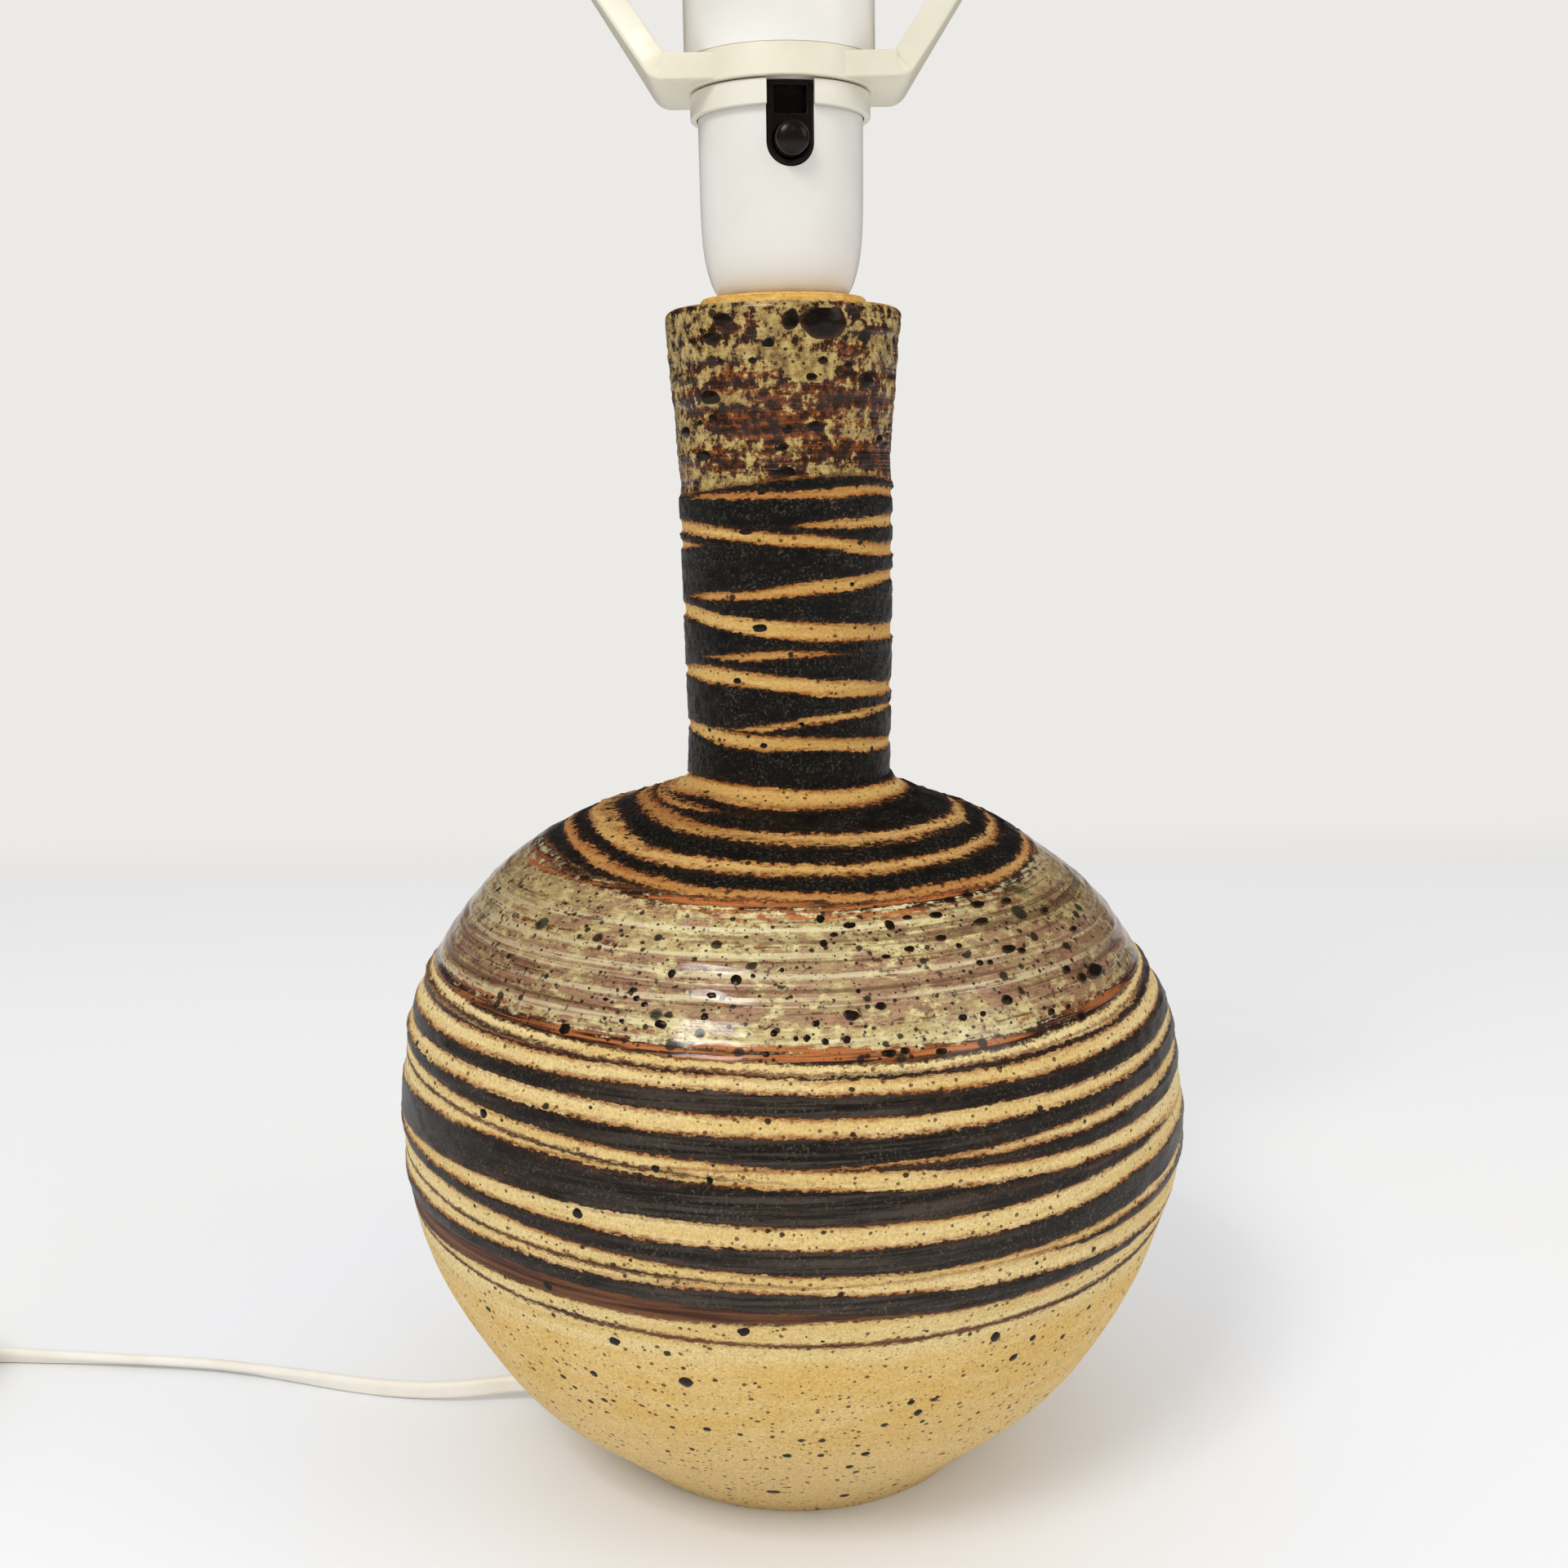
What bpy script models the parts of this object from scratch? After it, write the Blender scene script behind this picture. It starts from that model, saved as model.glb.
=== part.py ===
# Ceramic table lamp: a thrown stoneware body, a switched lamp holder, a shade carrier and its flex.
# Metres, +Z up. The origin is the centre of the foot on the table, and the switch faces -Y.
import math

import bmesh
import bpy
from mathutils import Matrix, Vector

# Thrown body
foot_radius = 0.0450
foot_width = 0.0090
belly_radius = 0.0979
belly_height = 0.0900
neck_radius = 0.0247
neck_foot_height = 0.1720
rim_radius = 0.0275
rim_height = 0.2840
rim_round = 0.0020
rim_steps = 3
body_wall = 0.0070
top_plate = 0.0100
plate_fillet = 0.0035
boss_radius = 0.0196
boss_rise = 0.0023

# Outside of the body, as (share of the rise, share of the reach) between the sizes above
lower_wall_shares = (
    (0.11, 0.18), (0.28, 0.515), (0.445, 0.71), (0.61, 0.858), (0.78, 0.95), (0.9, 0.99),
)
upper_wall_shares = (
    (0.12, 0.992), (0.305, 0.95), (0.49, 0.85), (0.67, 0.68),
    (0.79, 0.496), (0.875, 0.335), (0.94, 0.134), (1.0, 0.011),
)
neck_shares = ((0.054, 0.0), (0.34, 0.11), (0.52, 0.2), (0.7, 0.26), (0.83, 0.6), (0.92, 0.86))

# Clearances and modelling aids
seat_gap = 0.0003
overrun = 0.0040
big_sides = 40
holder_sides = 32
middle_sides = 24
small_sides = 12

# Threaded tube through the neck, its washer and locknut
nipple_radius = 0.0050
nipple_bore = 0.0036
nipple_tail = 0.0015
nipple_recess = 0.0006
washer_radius = 0.0110
washer_thickness = 0.0014
locknut_height = 0.0050
locknut_flats = 0.0140

# Lower cup of the lamp holder
cap_radius = 0.0193
cap_height = 0.0434
cap_wall = 0.0018
cap_floor = 0.0030
cap_boss_radius = 0.0090
cap_boss_height = 0.0100
cap_wall_shares = (
    (0.0, 0.793), (0.07, 0.824), (0.15, 0.876), (0.22, 0.927), (0.29, 0.961), (0.42, 0.985), (0.7, 1.0),
)
lock_screw_radius = 0.0015
lock_screw_length = 0.0042
lock_screw_rise = 0.0070

# Upper shell of the holder: a collar, then a threaded tube
collar_radius = 0.0210
collar_height = 0.0055
collar_lap = 0.0032
collar_edge = 0.0004
thread_radius = 0.0192
thread_depth = 0.0008
thread_pitch = 0.0030
thread_turns = 5
shell_wall = 0.0018
shell_height = 0.0347
shell_lip = 0.0015
socket_mouth_radius = 0.0142
ledge_width = 0.0026
ledge_rise = 0.0017
ledge_thickness = 0.0020

# Switch: its slot, black housing, push-through bar and bridge contact
switch_turn = math.radians(6.5)
slot_width = 0.0108
slot_height = 0.0188
button_rise = 0.0003
housing_sink = 0.0004
bar_radius = 0.00375
bar_travel = 0.0056
bar_dome = 0.0016
bar_dome_steps = 5
recess_width = 0.0074
recess_height = 0.0060
recess_depth = 0.0050
recess_edge = 0.0010
bridge_width = 0.0020
bridge_thickness = 0.0008
bridge_window_height = 0.0032
terminal_length = 0.0067
terminal_width = 0.0066
terminal_height = 0.0065
terminal_start = 0.0008
terminal_screw_radius = 0.0016
terminal_head_radius = 0.0024
terminal_head_height = 0.0015
terminal_screw_depth = 0.0036

# Socket base with its rivets, straps, screw shell and sprung contact
base_thickness = 0.0047
rivet_reach = 0.0090
rivet_radius = 0.0012
rivet_head_radius = 0.0022
rivet_head_height = 0.0009
strap_thickness = 0.0008
strap_width = 0.0030
screw_shell_radius = 0.0123
screw_shell_depth = 0.0010
screw_shell_wall = 0.0005
screw_shell_pitch = 0.00363
screw_shell_turns = 6
tab_width = 0.0044
tab_reach = 0.0027
tab_bite = 0.0004
tab_lift = 0.0001
leaf_thickness = 0.0004
leaf_width = 0.0050
leaf_foot = 0.0023
leaf_rise = 0.0037
leaf_tip_reach = 0.0030
leaf_crown_reach = 0.0021
leaf_slope_run = 0.0044
leaf_tip_drop = 0.0004

# Cord grip above the nipple
grip_length = 0.0160
grip_width = 0.0040
grip_height = 0.0060
cord_above_grip = 0.0010
grip_screw_reach = 0.0056
grip_screw_radius = 0.0013
grip_head_radius = 0.0023
grip_head_height = 0.0014

# Shade carrier and the long ring nut that clamps it
hub_wall = 0.0016
hub_height = 0.0090
hub_lip = 0.0002
carrier_half_width = 0.0170
carrier_wall_height = 0.0059
carrier_plate = 0.0022
carrier_wall = 0.0016
carrier_reach = 0.0289
carrier_flat_reach = 0.0251
arm_slope = math.radians(56.9)
arm_half_width = 0.0100
arm_taper_rise = 0.0187
# The arm narrows in these steps: (share of the taper's rise, share of the narrowing)
arm_bend_share = 0.06
arm_taper_shares = ((0.16, 0.3), (0.45, 0.66), (1.0, 1.0))
strap_half_width = 0.0062
flange_lean = 0.0008
shade_ring_radius = 0.0500
shade_ring_wall = 0.0030
shade_ring_height = 0.0060
carrier_height = 0.0474
ring_overlap = 0.0030
sleeve_radius = 0.0222
sleeve_height = 0.0285
sleeve_lip_width = 0.0030
sleeve_lip_height = 0.0018
sleeve_edge = 0.0008

# Flex, its way out of the body and what is on it
cord_diameter = 0.0048
core_diameter = 0.0018
core_spread = 0.0012
core_step = 0.0027
# Each core from the flex's end to its terminal: (share of the way across, share of the rise)
core_shares = ((0.2, 0.3), (0.75, 0.65), (1.0, 0.88))
exit_height = 0.0080
exit_turn = math.radians(174.0)
exit_droop = math.radians(6.0)
grommet_wall = 0.0014
grommet_reach = 0.0194
grommet_tip_wall = 0.0007
grommet_flange = 0.0013
grommet_flange_thickness = 0.0015
cord_step = 0.0120

# Route of the flex on the table, from the body to the coil
table_route = (
    (-0.0800, 0.0082, 0.0051), (-0.0920, 0.0087, 0.0037), (-0.1040, 0.0104, 0.0028),
    (-0.1160, 0.0131, 0.0024), (-0.1274, 0.0163, 0.0024), (-0.1447, 0.0217, 0.0024),
    (-0.1622, 0.0265, 0.0024), (-0.1814, 0.0296, 0.0024), (-0.2030, 0.0320, 0.0024),
    (-0.2249, 0.0342, 0.0024), (-0.2400, 0.0352, 0.0028),
)
# Route inside the body, from the grommet to the nipple
inner_route = (
    (-0.0330, 0.0034, 0.0112), (-0.0230, 0.0024, 0.0150), (-0.0140, 0.0015, 0.0230),
    (-0.0070, 0.0008, 0.0360), (-0.0025, 0.0003, 0.0560), (0.0, 0.0, 0.0850),
    (0.0, 0.0, 0.1200), (0.0, 0.0, 0.1600), (0.0, 0.0, 0.2200),
)
# Route of the tail, from the top of the coil down to the plug
tail_route = (
    (-0.2780, 0.0346, 0.0192), (-0.2910, 0.0295, 0.0173), (-0.3035, 0.0200, 0.0142),
    (-0.3130, 0.0080, 0.0108), (-0.3184, -0.0050, 0.0080),
)

coil_place = (-0.2620, 0.0026)
coil_mean_radius = 0.0270
coil_layers = 4
coil_layer_turns = 2.25
coil_points = 24
turn_gap = 0.0005
tie_thickness = 0.0008
tie_width = 0.0050
tie_gap = 0.0005
tie_turn = math.radians(315.0)

plug_place = (-0.3200, -0.0150)
plug_relief_length = 0.0240
plug_relief_radius = 0.0044
plug_relief_tip_wall = 0.0008
plug_relief_ribs = 4
plug_relief_rib_rise = 0.0004
plug_width = 0.0353
plug_neck_width = 0.0120
plug_hip_width = 0.0219
plug_hip_length = 0.0108
plug_length = 0.0360
plug_thickness = 0.0137
plug_face_length = 0.0120
plug_edge = 0.0026
plug_edge_steps = 3
pin_radius = 0.0020
pin_length = 0.0190
pin_spacing = 0.0190
pin_tip = 0.0012


# Places that follow from the sizes
rim_shoulder = rim_height - rim_round
plate_underside = rim_height - top_plate
boss_top = rim_height + boss_rise
nipple_hole = nipple_radius + seat_gap
washer_top = plate_underside - seat_gap
locknut_top = washer_top - washer_thickness - seat_gap
nipple_bottom = locknut_top - locknut_height - nipple_tail
cap_base = boss_top + seat_gap
cap_top = cap_base + cap_height
cap_boss_top = cap_base + cap_boss_height
nipple_top = cap_boss_top - nipple_recess
collar_bottom = cap_top - collar_lap
collar_top = collar_bottom + collar_height
skirt_radius = cap_radius + seat_gap
shell_root = thread_radius - thread_depth
shell_bore = shell_root - shell_wall
shell_top = collar_top + shell_height
ledge_bottom = collar_top + ledge_rise
ledge_top = ledge_bottom + ledge_thickness
slot_bottom = collar_top - slot_height
slot_middle = slot_bottom + slot_width / 2
bar_height = slot_middle + button_rise
housing_half_width = slot_width / 2 - seat_gap
housing_face = cap_radius - housing_sink
housing_bottom = slot_bottom + seat_gap
housing_top = collar_top - seat_gap
bar_bore = bar_radius + seat_gap
bar_front = -housing_face - bar_travel + seat_gap
bar_rear = housing_face
bar_middle = (bar_front + bar_rear) / 2
terminal_inner = housing_half_width + seat_gap
terminal_outer = terminal_inner + terminal_width
terminal_bottom = bar_height - terminal_height / 2
terminal_top = bar_height + terminal_height / 2
terminal_screw_x = terminal_outer - terminal_head_radius
terminal_screw_y = terminal_start + terminal_length - terminal_head_radius
base_bottom = ledge_top + seat_gap
base_top = base_bottom + base_thickness
metal_seat = base_top + seat_gap
hub_base = collar_top + seat_gap
hub_bore = thread_radius + 2 * seat_gap
hub_radius = hub_bore + hub_wall
hub_top = hub_base + hub_height
carrier_base = hub_base + hub_lip
carrier_top = hub_base + carrier_height
sleeve_bottom = hub_top + seat_gap
sleeve_top = sleeve_bottom + sleeve_height
sleeve_bore = thread_radius + seat_gap
cord_radius = cord_diameter / 2
cord_bore = cord_radius + seat_gap
grip_bottom = cap_boss_top + seat_gap
cord_end = grip_bottom + grip_height + cord_above_grip
coil_pitch = cord_diameter + turn_gap
coil_floor = tie_thickness + tie_gap + cord_radius
coil_layer_angle = coil_layer_turns * 2 * math.pi
coil_outer = coil_mean_radius + coil_pitch * coil_layer_turns / 2
coil_inner = coil_mean_radius - coil_pitch * coil_layer_turns / 2
plug_axis = plug_thickness / 2


def principled(name, colour, roughness, metallic):
    """A Principled material with its colour, roughness and metallic value set."""
    made = bpy.data.materials.new(name)
    made.use_nodes = True
    shader = made.node_tree.nodes["Principled BSDF"]
    shader.inputs["Base Color"].default_value = (*colour, 1.0)
    shader.inputs["Roughness"].default_value = roughness
    shader.inputs["Metallic"].default_value = metallic
    return made


def clear_scene():
    for thing in list(bpy.data.objects):
        bpy.data.objects.remove(thing, do_unlink=True)


clear_scene()

stoneware = principled("stoneware", (0.42, 0.27, 0.12), 0.55, 0.0)
white_plastic = principled("white_plastic", (0.86, 0.85, 0.82), 0.3, 0.0)
ivory_plastic = principled("ivory_plastic", (0.83, 0.80, 0.68), 0.38, 0.0)
black_plastic = principled("black_plastic", (0.02, 0.018, 0.017), 0.35, 0.0)
porcelain = principled("porcelain", (0.80, 0.79, 0.75), 0.25, 0.0)
brass = principled("brass", (0.72, 0.52, 0.22), 0.32, 1.0)
steel = principled("steel", (0.56, 0.56, 0.55), 0.35, 1.0)
nickel = principled("nickel", (0.74, 0.72, 0.68), 0.22, 1.0)
flex_plastic = principled("flex_plastic", (0.84, 0.82, 0.74), 0.42, 0.0)
core_plastic = principled("core_plastic", (0.30, 0.16, 0.08), 0.45, 0.0)


def finished(name, bm, look, parent=None):
    """One closed mesh object from a bmesh, facing out and smooth where it is round."""
    bmesh.ops.remove_doubles(bm, verts=bm.verts, dist=1e-7)
    bmesh.ops.recalc_face_normals(bm, faces=bm.faces)
    mesh = bpy.data.meshes.new(name)
    bm.to_mesh(mesh)
    bm.free()
    mesh.shade_smooth()
    mesh.set_sharp_from_angle(angle=math.radians(35.0))
    mesh.materials.append(look)
    thing = bpy.data.objects.new(name, mesh)
    bpy.context.scene.collection.objects.link(thing)
    thing.parent = parent
    return thing


def add_turned(bm, outline, sides, place=None):
    """Turn (radius, height) points round Z. An outline with both ends on the axis stays open."""
    points = [bm.verts.new((radius, 0.0, height)) for radius, height in outline]
    edges = [bm.edges.new(pair) for pair in zip(points, points[1:])]
    if outline[0][0] > 0 or outline[-1][0] > 0:
        edges.append(bm.edges.new((points[-1], points[0])))
    before = set(bm.verts) - set(points)
    bmesh.ops.spin(
        bm, geom=points + edges, cent=(0, 0, 0), axis=(0, 0, 1), angle=2 * math.pi, steps=sides, use_merge=True
    )
    if place is not None:
        bmesh.ops.transform(bm, matrix=place, verts=[v for v in bm.verts if v not in before])


def turned(name, outline, look, sides=big_sides, parent=None):
    bm = bmesh.new()
    add_turned(bm, outline, sides)
    return finished(name, bm, look, parent)


def add_block(bm, low, high):
    """A box between two corners."""
    size = [b - a for a, b in zip(low, high)]
    middle = [(a + b) / 2 for a, b in zip(low, high)]
    place = Matrix.Translation(middle) @ Matrix.Diagonal((*size, 1.0))
    bmesh.ops.create_cube(bm, size=1.0, matrix=place)


def add_slab(bm, outline, start, end):
    """An outline in X and Z, extruded along Y from start to end."""
    face = bm.faces.new([bm.verts.new((x, start, z)) for x, z in outline])
    raised = bmesh.ops.extrude_face_region(bm, geom=[face])["geom"]
    moved = [item for item in raised if isinstance(item, bmesh.types.BMVert)]
    bmesh.ops.translate(bm, vec=(0.0, end - start, 0.0), verts=moved)


def slot_outline(half_width, bottom, top, steps=12):
    """A slot with a round lower end, in X and Z."""
    centre = bottom + half_width
    arc = [
        (half_width * math.cos(math.pi * step / steps), centre - half_width * math.sin(math.pi * step / steps))
        for step in range(steps + 1)
    ]
    return [(half_width, top), *arc, (-half_width, top)]


def rod_outline(radius, start, end):
    return [(0.0, start), (radius, start), (radius, end), (0.0, end)]


def tube_outline(inner, outer, bottom, top):
    return [(inner, bottom), (outer, bottom), (outer, top), (inner, top)]


def cutter(name, bm, parent=None):
    """A hidden tool body for a Boolean."""
    tool = finished(name, bm, steel, parent)
    tool.hide_render = True
    tool.display_type = "WIRE"
    return tool


def combine(target, tool, operation="DIFFERENCE"):
    step = target.modifiers.new(tool.name, "BOOLEAN")
    step.object = tool
    step.operation = operation
    step.solver = "EXACT"


def lying_along_y(place):
    """Turns a shape made round Z so that its axis runs along +Y from place."""
    return Matrix.Translation(place) @ Matrix.Rotation(-math.pi / 2, 4, "X")


def lying_along_x(place):
    return Matrix.Translation(place) @ Matrix.Rotation(math.pi / 2, 4, "Y")


# Smooth routes for the flex
def smooth_route(points, step):
    """Points about one step apart on a smooth curve through the given points."""
    given = [Vector(p) for p in points]
    padded = [given[0] * 2 - given[1], *given, given[-1] * 2 - given[-2]]
    fine = []
    for a, b, c, d in zip(padded, padded[1:], padded[2:], padded[3:]):
        for part in range(16):
            t = part / 16
            fine.append(
                (b * 2 + (c - a) * t + (a * 2 - b * 5 + c * 4 - d) * t**2 + (b * 3 - a - c * 3 + d) * t**3) / 2
            )
    fine.append(given[-1])
    lengths = [0.0]
    for a, b in zip(fine, fine[1:]):
        lengths.append(lengths[-1] + (b - a).length)
    count = max(2, round(lengths[-1] / step))
    route, at = [], 0
    for index in range(count):
        wanted = lengths[-1] * index / count
        while lengths[at + 1] < wanted:
            at += 1
        share = (wanted - lengths[at]) / (lengths[at + 1] - lengths[at])
        route.append(fine[at].lerp(fine[at + 1], share))
    return [*route, fine[-1]]


def squared_route(start, start_way, points, end, end_way):
    """A smooth route whose two ends run straight for one diameter, square to what they meet."""
    after, before = start + start_way * cord_diameter, end - end_way * cord_diameter
    return [start, *smooth_route([after, *points, before], cord_step), end]


def route_length(points):
    return sum((b - a).length for a, b in zip(points, points[1:]))


def flex(name, route, radius, look, resolution=2, parent=None):
    """A solid tube along a route, as a curve object with filled caps."""
    curve = bpy.data.curves.new(name, "CURVE")
    curve.dimensions = "3D"
    curve.bevel_depth = radius
    curve.bevel_resolution = resolution
    curve.use_fill_caps = True
    spline = curve.splines.new("POLY")
    spline.points.add(len(route) - 1)
    for point, place in zip(spline.points, route):
        point.co = (*place, 1.0)
    curve.materials.append(look)
    thing = bpy.data.objects.new(name, curve)
    bpy.context.scene.collection.objects.link(thing)
    thing.parent = parent
    return thing


# The thrown body
def body_outside():
    """(radius, height) points of the outside, from the foot to the shoulder of the rim."""
    lower = [
        (foot_radius + (belly_radius - foot_radius) * out, belly_height * up) for up, out in lower_wall_shares
    ]
    upper = [
        (neck_radius + (belly_radius - neck_radius) * out, belly_height + (neck_foot_height - belly_height) * up)
        for up, out in upper_wall_shares
    ]
    neck = [
        (neck_radius + (rim_radius - neck_radius) * out, neck_foot_height + (rim_height - neck_foot_height) * up)
        for up, out in neck_shares
    ]
    return [(foot_radius, 0.0), *lower, (belly_radius, belly_height), *upper, *neck, (rim_radius, rim_shoulder)]


def body_inside(outside):
    """The outside moved inwards by the wall, up to the underside of the top plate."""
    inside = []
    for (r0, z0), (r1, z1), (r2, z2) in zip(outside, outside[1:], outside[2:]):
        along = Vector((r2 - r0, z2 - z0)).normalized()
        radius, height = r1 - body_wall * along.y, z1 + body_wall * along.x
        if height < plate_underside - plate_fillet:
            inside.append((radius, height))
    return [*inside[:-1:2], inside[-1]]


def radius_at(outline, height):
    """Radius of an outline of (radius, height) points at a height."""
    for (r0, z0), (r1, z1) in zip(outline, outline[1:]):
        if z0 <= height <= z1:
            return r0 + (r1 - r0) * (height - z0) / (z1 - z0)
    return outline[-1][0]


outside = body_outside()
inside = [(foot_radius - foot_width, 0.0), *body_inside(outside)]
exit_radius = radius_at(outside, exit_height)
exit_way = Vector(
    (
        math.cos(exit_turn) * math.cos(exit_droop),
        math.sin(exit_turn) * math.cos(exit_droop),
        -math.sin(exit_droop),
    )
)
exit_place = Vector((exit_radius * math.cos(exit_turn), exit_radius * math.sin(exit_turn), exit_height))
flange_low = exit_height + body_wall * math.sin(exit_droop) - cord_bore - grommet_wall - grommet_flange
exit_wall = exit_radius - radius_at(inside, flange_low)
along_exit = Matrix.Translation(exit_place) @ exit_way.to_track_quat("Z", "Y").to_matrix().to_4x4()
grommet_radius = cord_bore + grommet_wall


def make_body():
    turns = [math.pi / 2 * step / rim_steps for step in range(1, rim_steps + 1)]
    edge = [
        (rim_radius - rim_round * (1 - math.cos(turn)), rim_shoulder + rim_round * math.sin(turn))
        for turn in turns
    ]
    bore_radius = radius_at(inside, inside[-1][1])
    outline = [
        *outside,
        *edge,
        (boss_radius, rim_height),
        (boss_radius, boss_top),
        (nipple_hole, boss_top),
        (nipple_hole, plate_underside),
        (bore_radius, plate_underside),
        *reversed(inside),
    ]
    body = turned("ceramic_body", outline, stoneware)
    hole = bmesh.new()
    deep = exit_wall + grommet_flange_thickness + overrun
    add_turned(hole, rod_outline(grommet_radius + seat_gap, -deep, grommet_reach), small_sides, along_exit)
    combine(body, cutter("cord_hole_tool", hole))


def make_grommet():
    """A soft bush in the hole, whose nose tapers onto the flex as a strain relief."""
    start = -exit_wall - seat_gap
    outline = [
        (cord_bore, start - grommet_flange_thickness),
        (grommet_radius + grommet_flange, start - grommet_flange_thickness),
        (grommet_radius + grommet_flange, start),
        (grommet_radius, start),
        (grommet_radius, 0.0),
        (cord_bore + grommet_tip_wall, grommet_reach),
        (cord_bore, grommet_reach),
    ]
    bm = bmesh.new()
    add_turned(bm, outline, small_sides, along_exit)
    finished("cord_grommet", bm, white_plastic)


def make_nipple_set():
    tube = tube_outline(nipple_bore, nipple_radius, nipple_bottom, nipple_top)
    turned("threaded_nipple", tube, steel, middle_sides)
    turned(
        "nipple_washer",
        tube_outline(nipple_hole, washer_radius, washer_top - washer_thickness, washer_top),
        steel,
        middle_sides,
    )
    hexagon = bmesh.new()
    corner = locknut_flats / math.sqrt(3)
    add_turned(hexagon, tube_outline(nipple_hole, corner, locknut_top - locknut_height, locknut_top), 6)
    hexagon_nut = finished("nipple_locknut", hexagon, steel)
    hole = bmesh.new()
    low, high = locknut_top - locknut_height - overrun, locknut_top + overrun
    add_turned(hole, rod_outline(nipple_hole, low, high), middle_sides)
    combine(hexagon_nut, cutter("locknut_hole_tool", hole))


# The holder stands on the nipple, turned a little as it was screwed down
holder = bpy.data.objects.new("holder_axis", None)
bpy.context.scene.collection.objects.link(holder)
holder.rotation_euler = (0.0, 0.0, switch_turn)
sides_of_holder = (("left", -1), ("right", 1))


def make_cap(slot):
    wall = [(cap_radius * out, cap_base + cap_height * up) for up, out in cap_wall_shares]
    hollow = [
        (radius - cap_wall, height) for radius, height in wall if height > cap_base + cap_floor + cap_wall
    ]
    outline = [
        *wall,
        (cap_radius, cap_top),
        (cap_radius - cap_wall, cap_top),
        *reversed(hollow),
        (hollow[0][0] - cap_wall, cap_base + cap_floor),
        (cap_boss_radius, cap_base + cap_floor),
        (cap_boss_radius, cap_boss_top),
        (nipple_hole, cap_boss_top),
        (nipple_hole, cap_base),
    ]
    cap = turned("holder_cap", outline, white_plastic, holder_sides, holder)
    combine(cap, slot)
    hole = bmesh.new()
    middle = (0.0, 0.0, cap_base + lock_screw_rise)
    start, end = nipple_radius - overrun / 2, cap_boss_radius + overrun / 2
    add_turned(hole, rod_outline(lock_screw_radius + seat_gap, start, end), small_sides, lying_along_x(middle))
    combine(cap, cutter("lock_screw_tool", hole, holder))
    screw = bmesh.new()
    start = nipple_radius + seat_gap
    add_turned(
        screw, rod_outline(lock_screw_radius, start, start + lock_screw_length), small_sides, lying_along_x(middle)
    )
    finished("nipple_lock_screw", screw, steel, holder)


def make_shell(slot):
    thread = [(shell_root, collar_top)]
    start = collar_top + thread_pitch / 4
    for turn in range(thread_turns):
        crest = start + thread_pitch * (turn + 0.5)
        thread += [(shell_root, crest - thread_pitch / 2), (thread_radius, crest)]
    thread += [(shell_root, start + thread_pitch * thread_turns), (shell_root, shell_top - shell_lip / 2)]
    outline = [
        (skirt_radius, collar_bottom),
        (collar_radius, collar_bottom),
        (collar_radius, collar_top - collar_edge),
        (collar_radius - collar_edge, collar_top),
        *thread,
        (shell_root - shell_lip / 2, shell_top),
        (socket_mouth_radius, shell_top),
        (socket_mouth_radius, shell_top - shell_lip),
        (shell_bore, shell_top - shell_lip),
        (shell_bore, ledge_top),
        (shell_bore - ledge_width, ledge_top),
        (shell_bore - ledge_width, ledge_bottom),
        (shell_bore, ledge_bottom),
        (shell_bore, cap_top + seat_gap),
        (skirt_radius, cap_top + seat_gap),
    ]
    shell = turned("holder_shell", outline, white_plastic, holder_sides, holder)
    combine(shell, slot)


def make_switch():
    """A black housing fills the slot from front to back, and the bar slides through it."""
    housing = bmesh.new()
    add_slab(housing, slot_outline(housing_half_width, housing_bottom, housing_top), -housing_face, housing_face)
    housing = finished("switch_housing", housing, black_plastic, holder)
    bore = bmesh.new()
    start, end = -housing_face - overrun, housing_face + overrun
    add_turned(bore, rod_outline(bar_bore, start, end), middle_sides, lying_along_y((0.0, 0.0, bar_height)))
    combine(housing, cutter("bar_bore_tool", bore, holder))
    recess = bmesh.new()
    top = housing_top - recess_edge
    for side in (-1, 1):
        ends = sorted((side * (housing_face - recess_depth), side * (housing_face + overrun)))
        low = (-recess_width / 2, ends[0], top - recess_height)
        add_block(recess, low, (recess_width / 2, ends[1], top))
    combine(housing, cutter("recess_tool", recess, holder))
    window = bmesh.new()
    reach = bar_travel / 2 + bridge_width + seat_gap
    tall = bridge_window_height / 2
    low = (-housing_half_width - overrun, -reach, bar_height - tall)
    add_block(window, low, (housing_half_width + overrun, reach, bar_height + tall))
    combine(housing, cutter("window_tool", window, holder))

    turns = [math.pi / 2 * step / bar_dome_steps for step in range(bar_dome_steps + 1)]
    arc = [(bar_radius * math.sin(turn), bar_dome * math.cos(turn)) for turn in turns]
    front = [(radius, bar_front + bar_dome - rise) for radius, rise in arc]
    rear = [(radius, bar_rear - bar_dome + rise) for radius, rise in reversed(arc)]
    bar = bmesh.new()
    add_turned(bar, [*front, *rear], middle_sides, lying_along_y((0.0, 0.0, bar_height)))
    bar = finished("push_bar", bar, black_plastic, holder)
    notch = bmesh.new()
    half, tall = bridge_width / 2 + seat_gap, bridge_thickness / 2 + seat_gap
    low = (-bar_radius - overrun, bar_middle - half, bar_height - tall)
    add_block(notch, low, (bar_radius + overrun, bar_middle + half, bar_height + tall))
    combine(bar, cutter("bridge_notch_tool", notch, holder))
    bridge = bmesh.new()
    half, tall = bridge_width / 2, bridge_thickness / 2
    low = (-housing_half_width, bar_middle - half, bar_height - tall)
    add_block(bridge, low, (housing_half_width, bar_middle + half, bar_height + tall))
    finished("bridge_contact", bridge, brass, holder)


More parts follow.
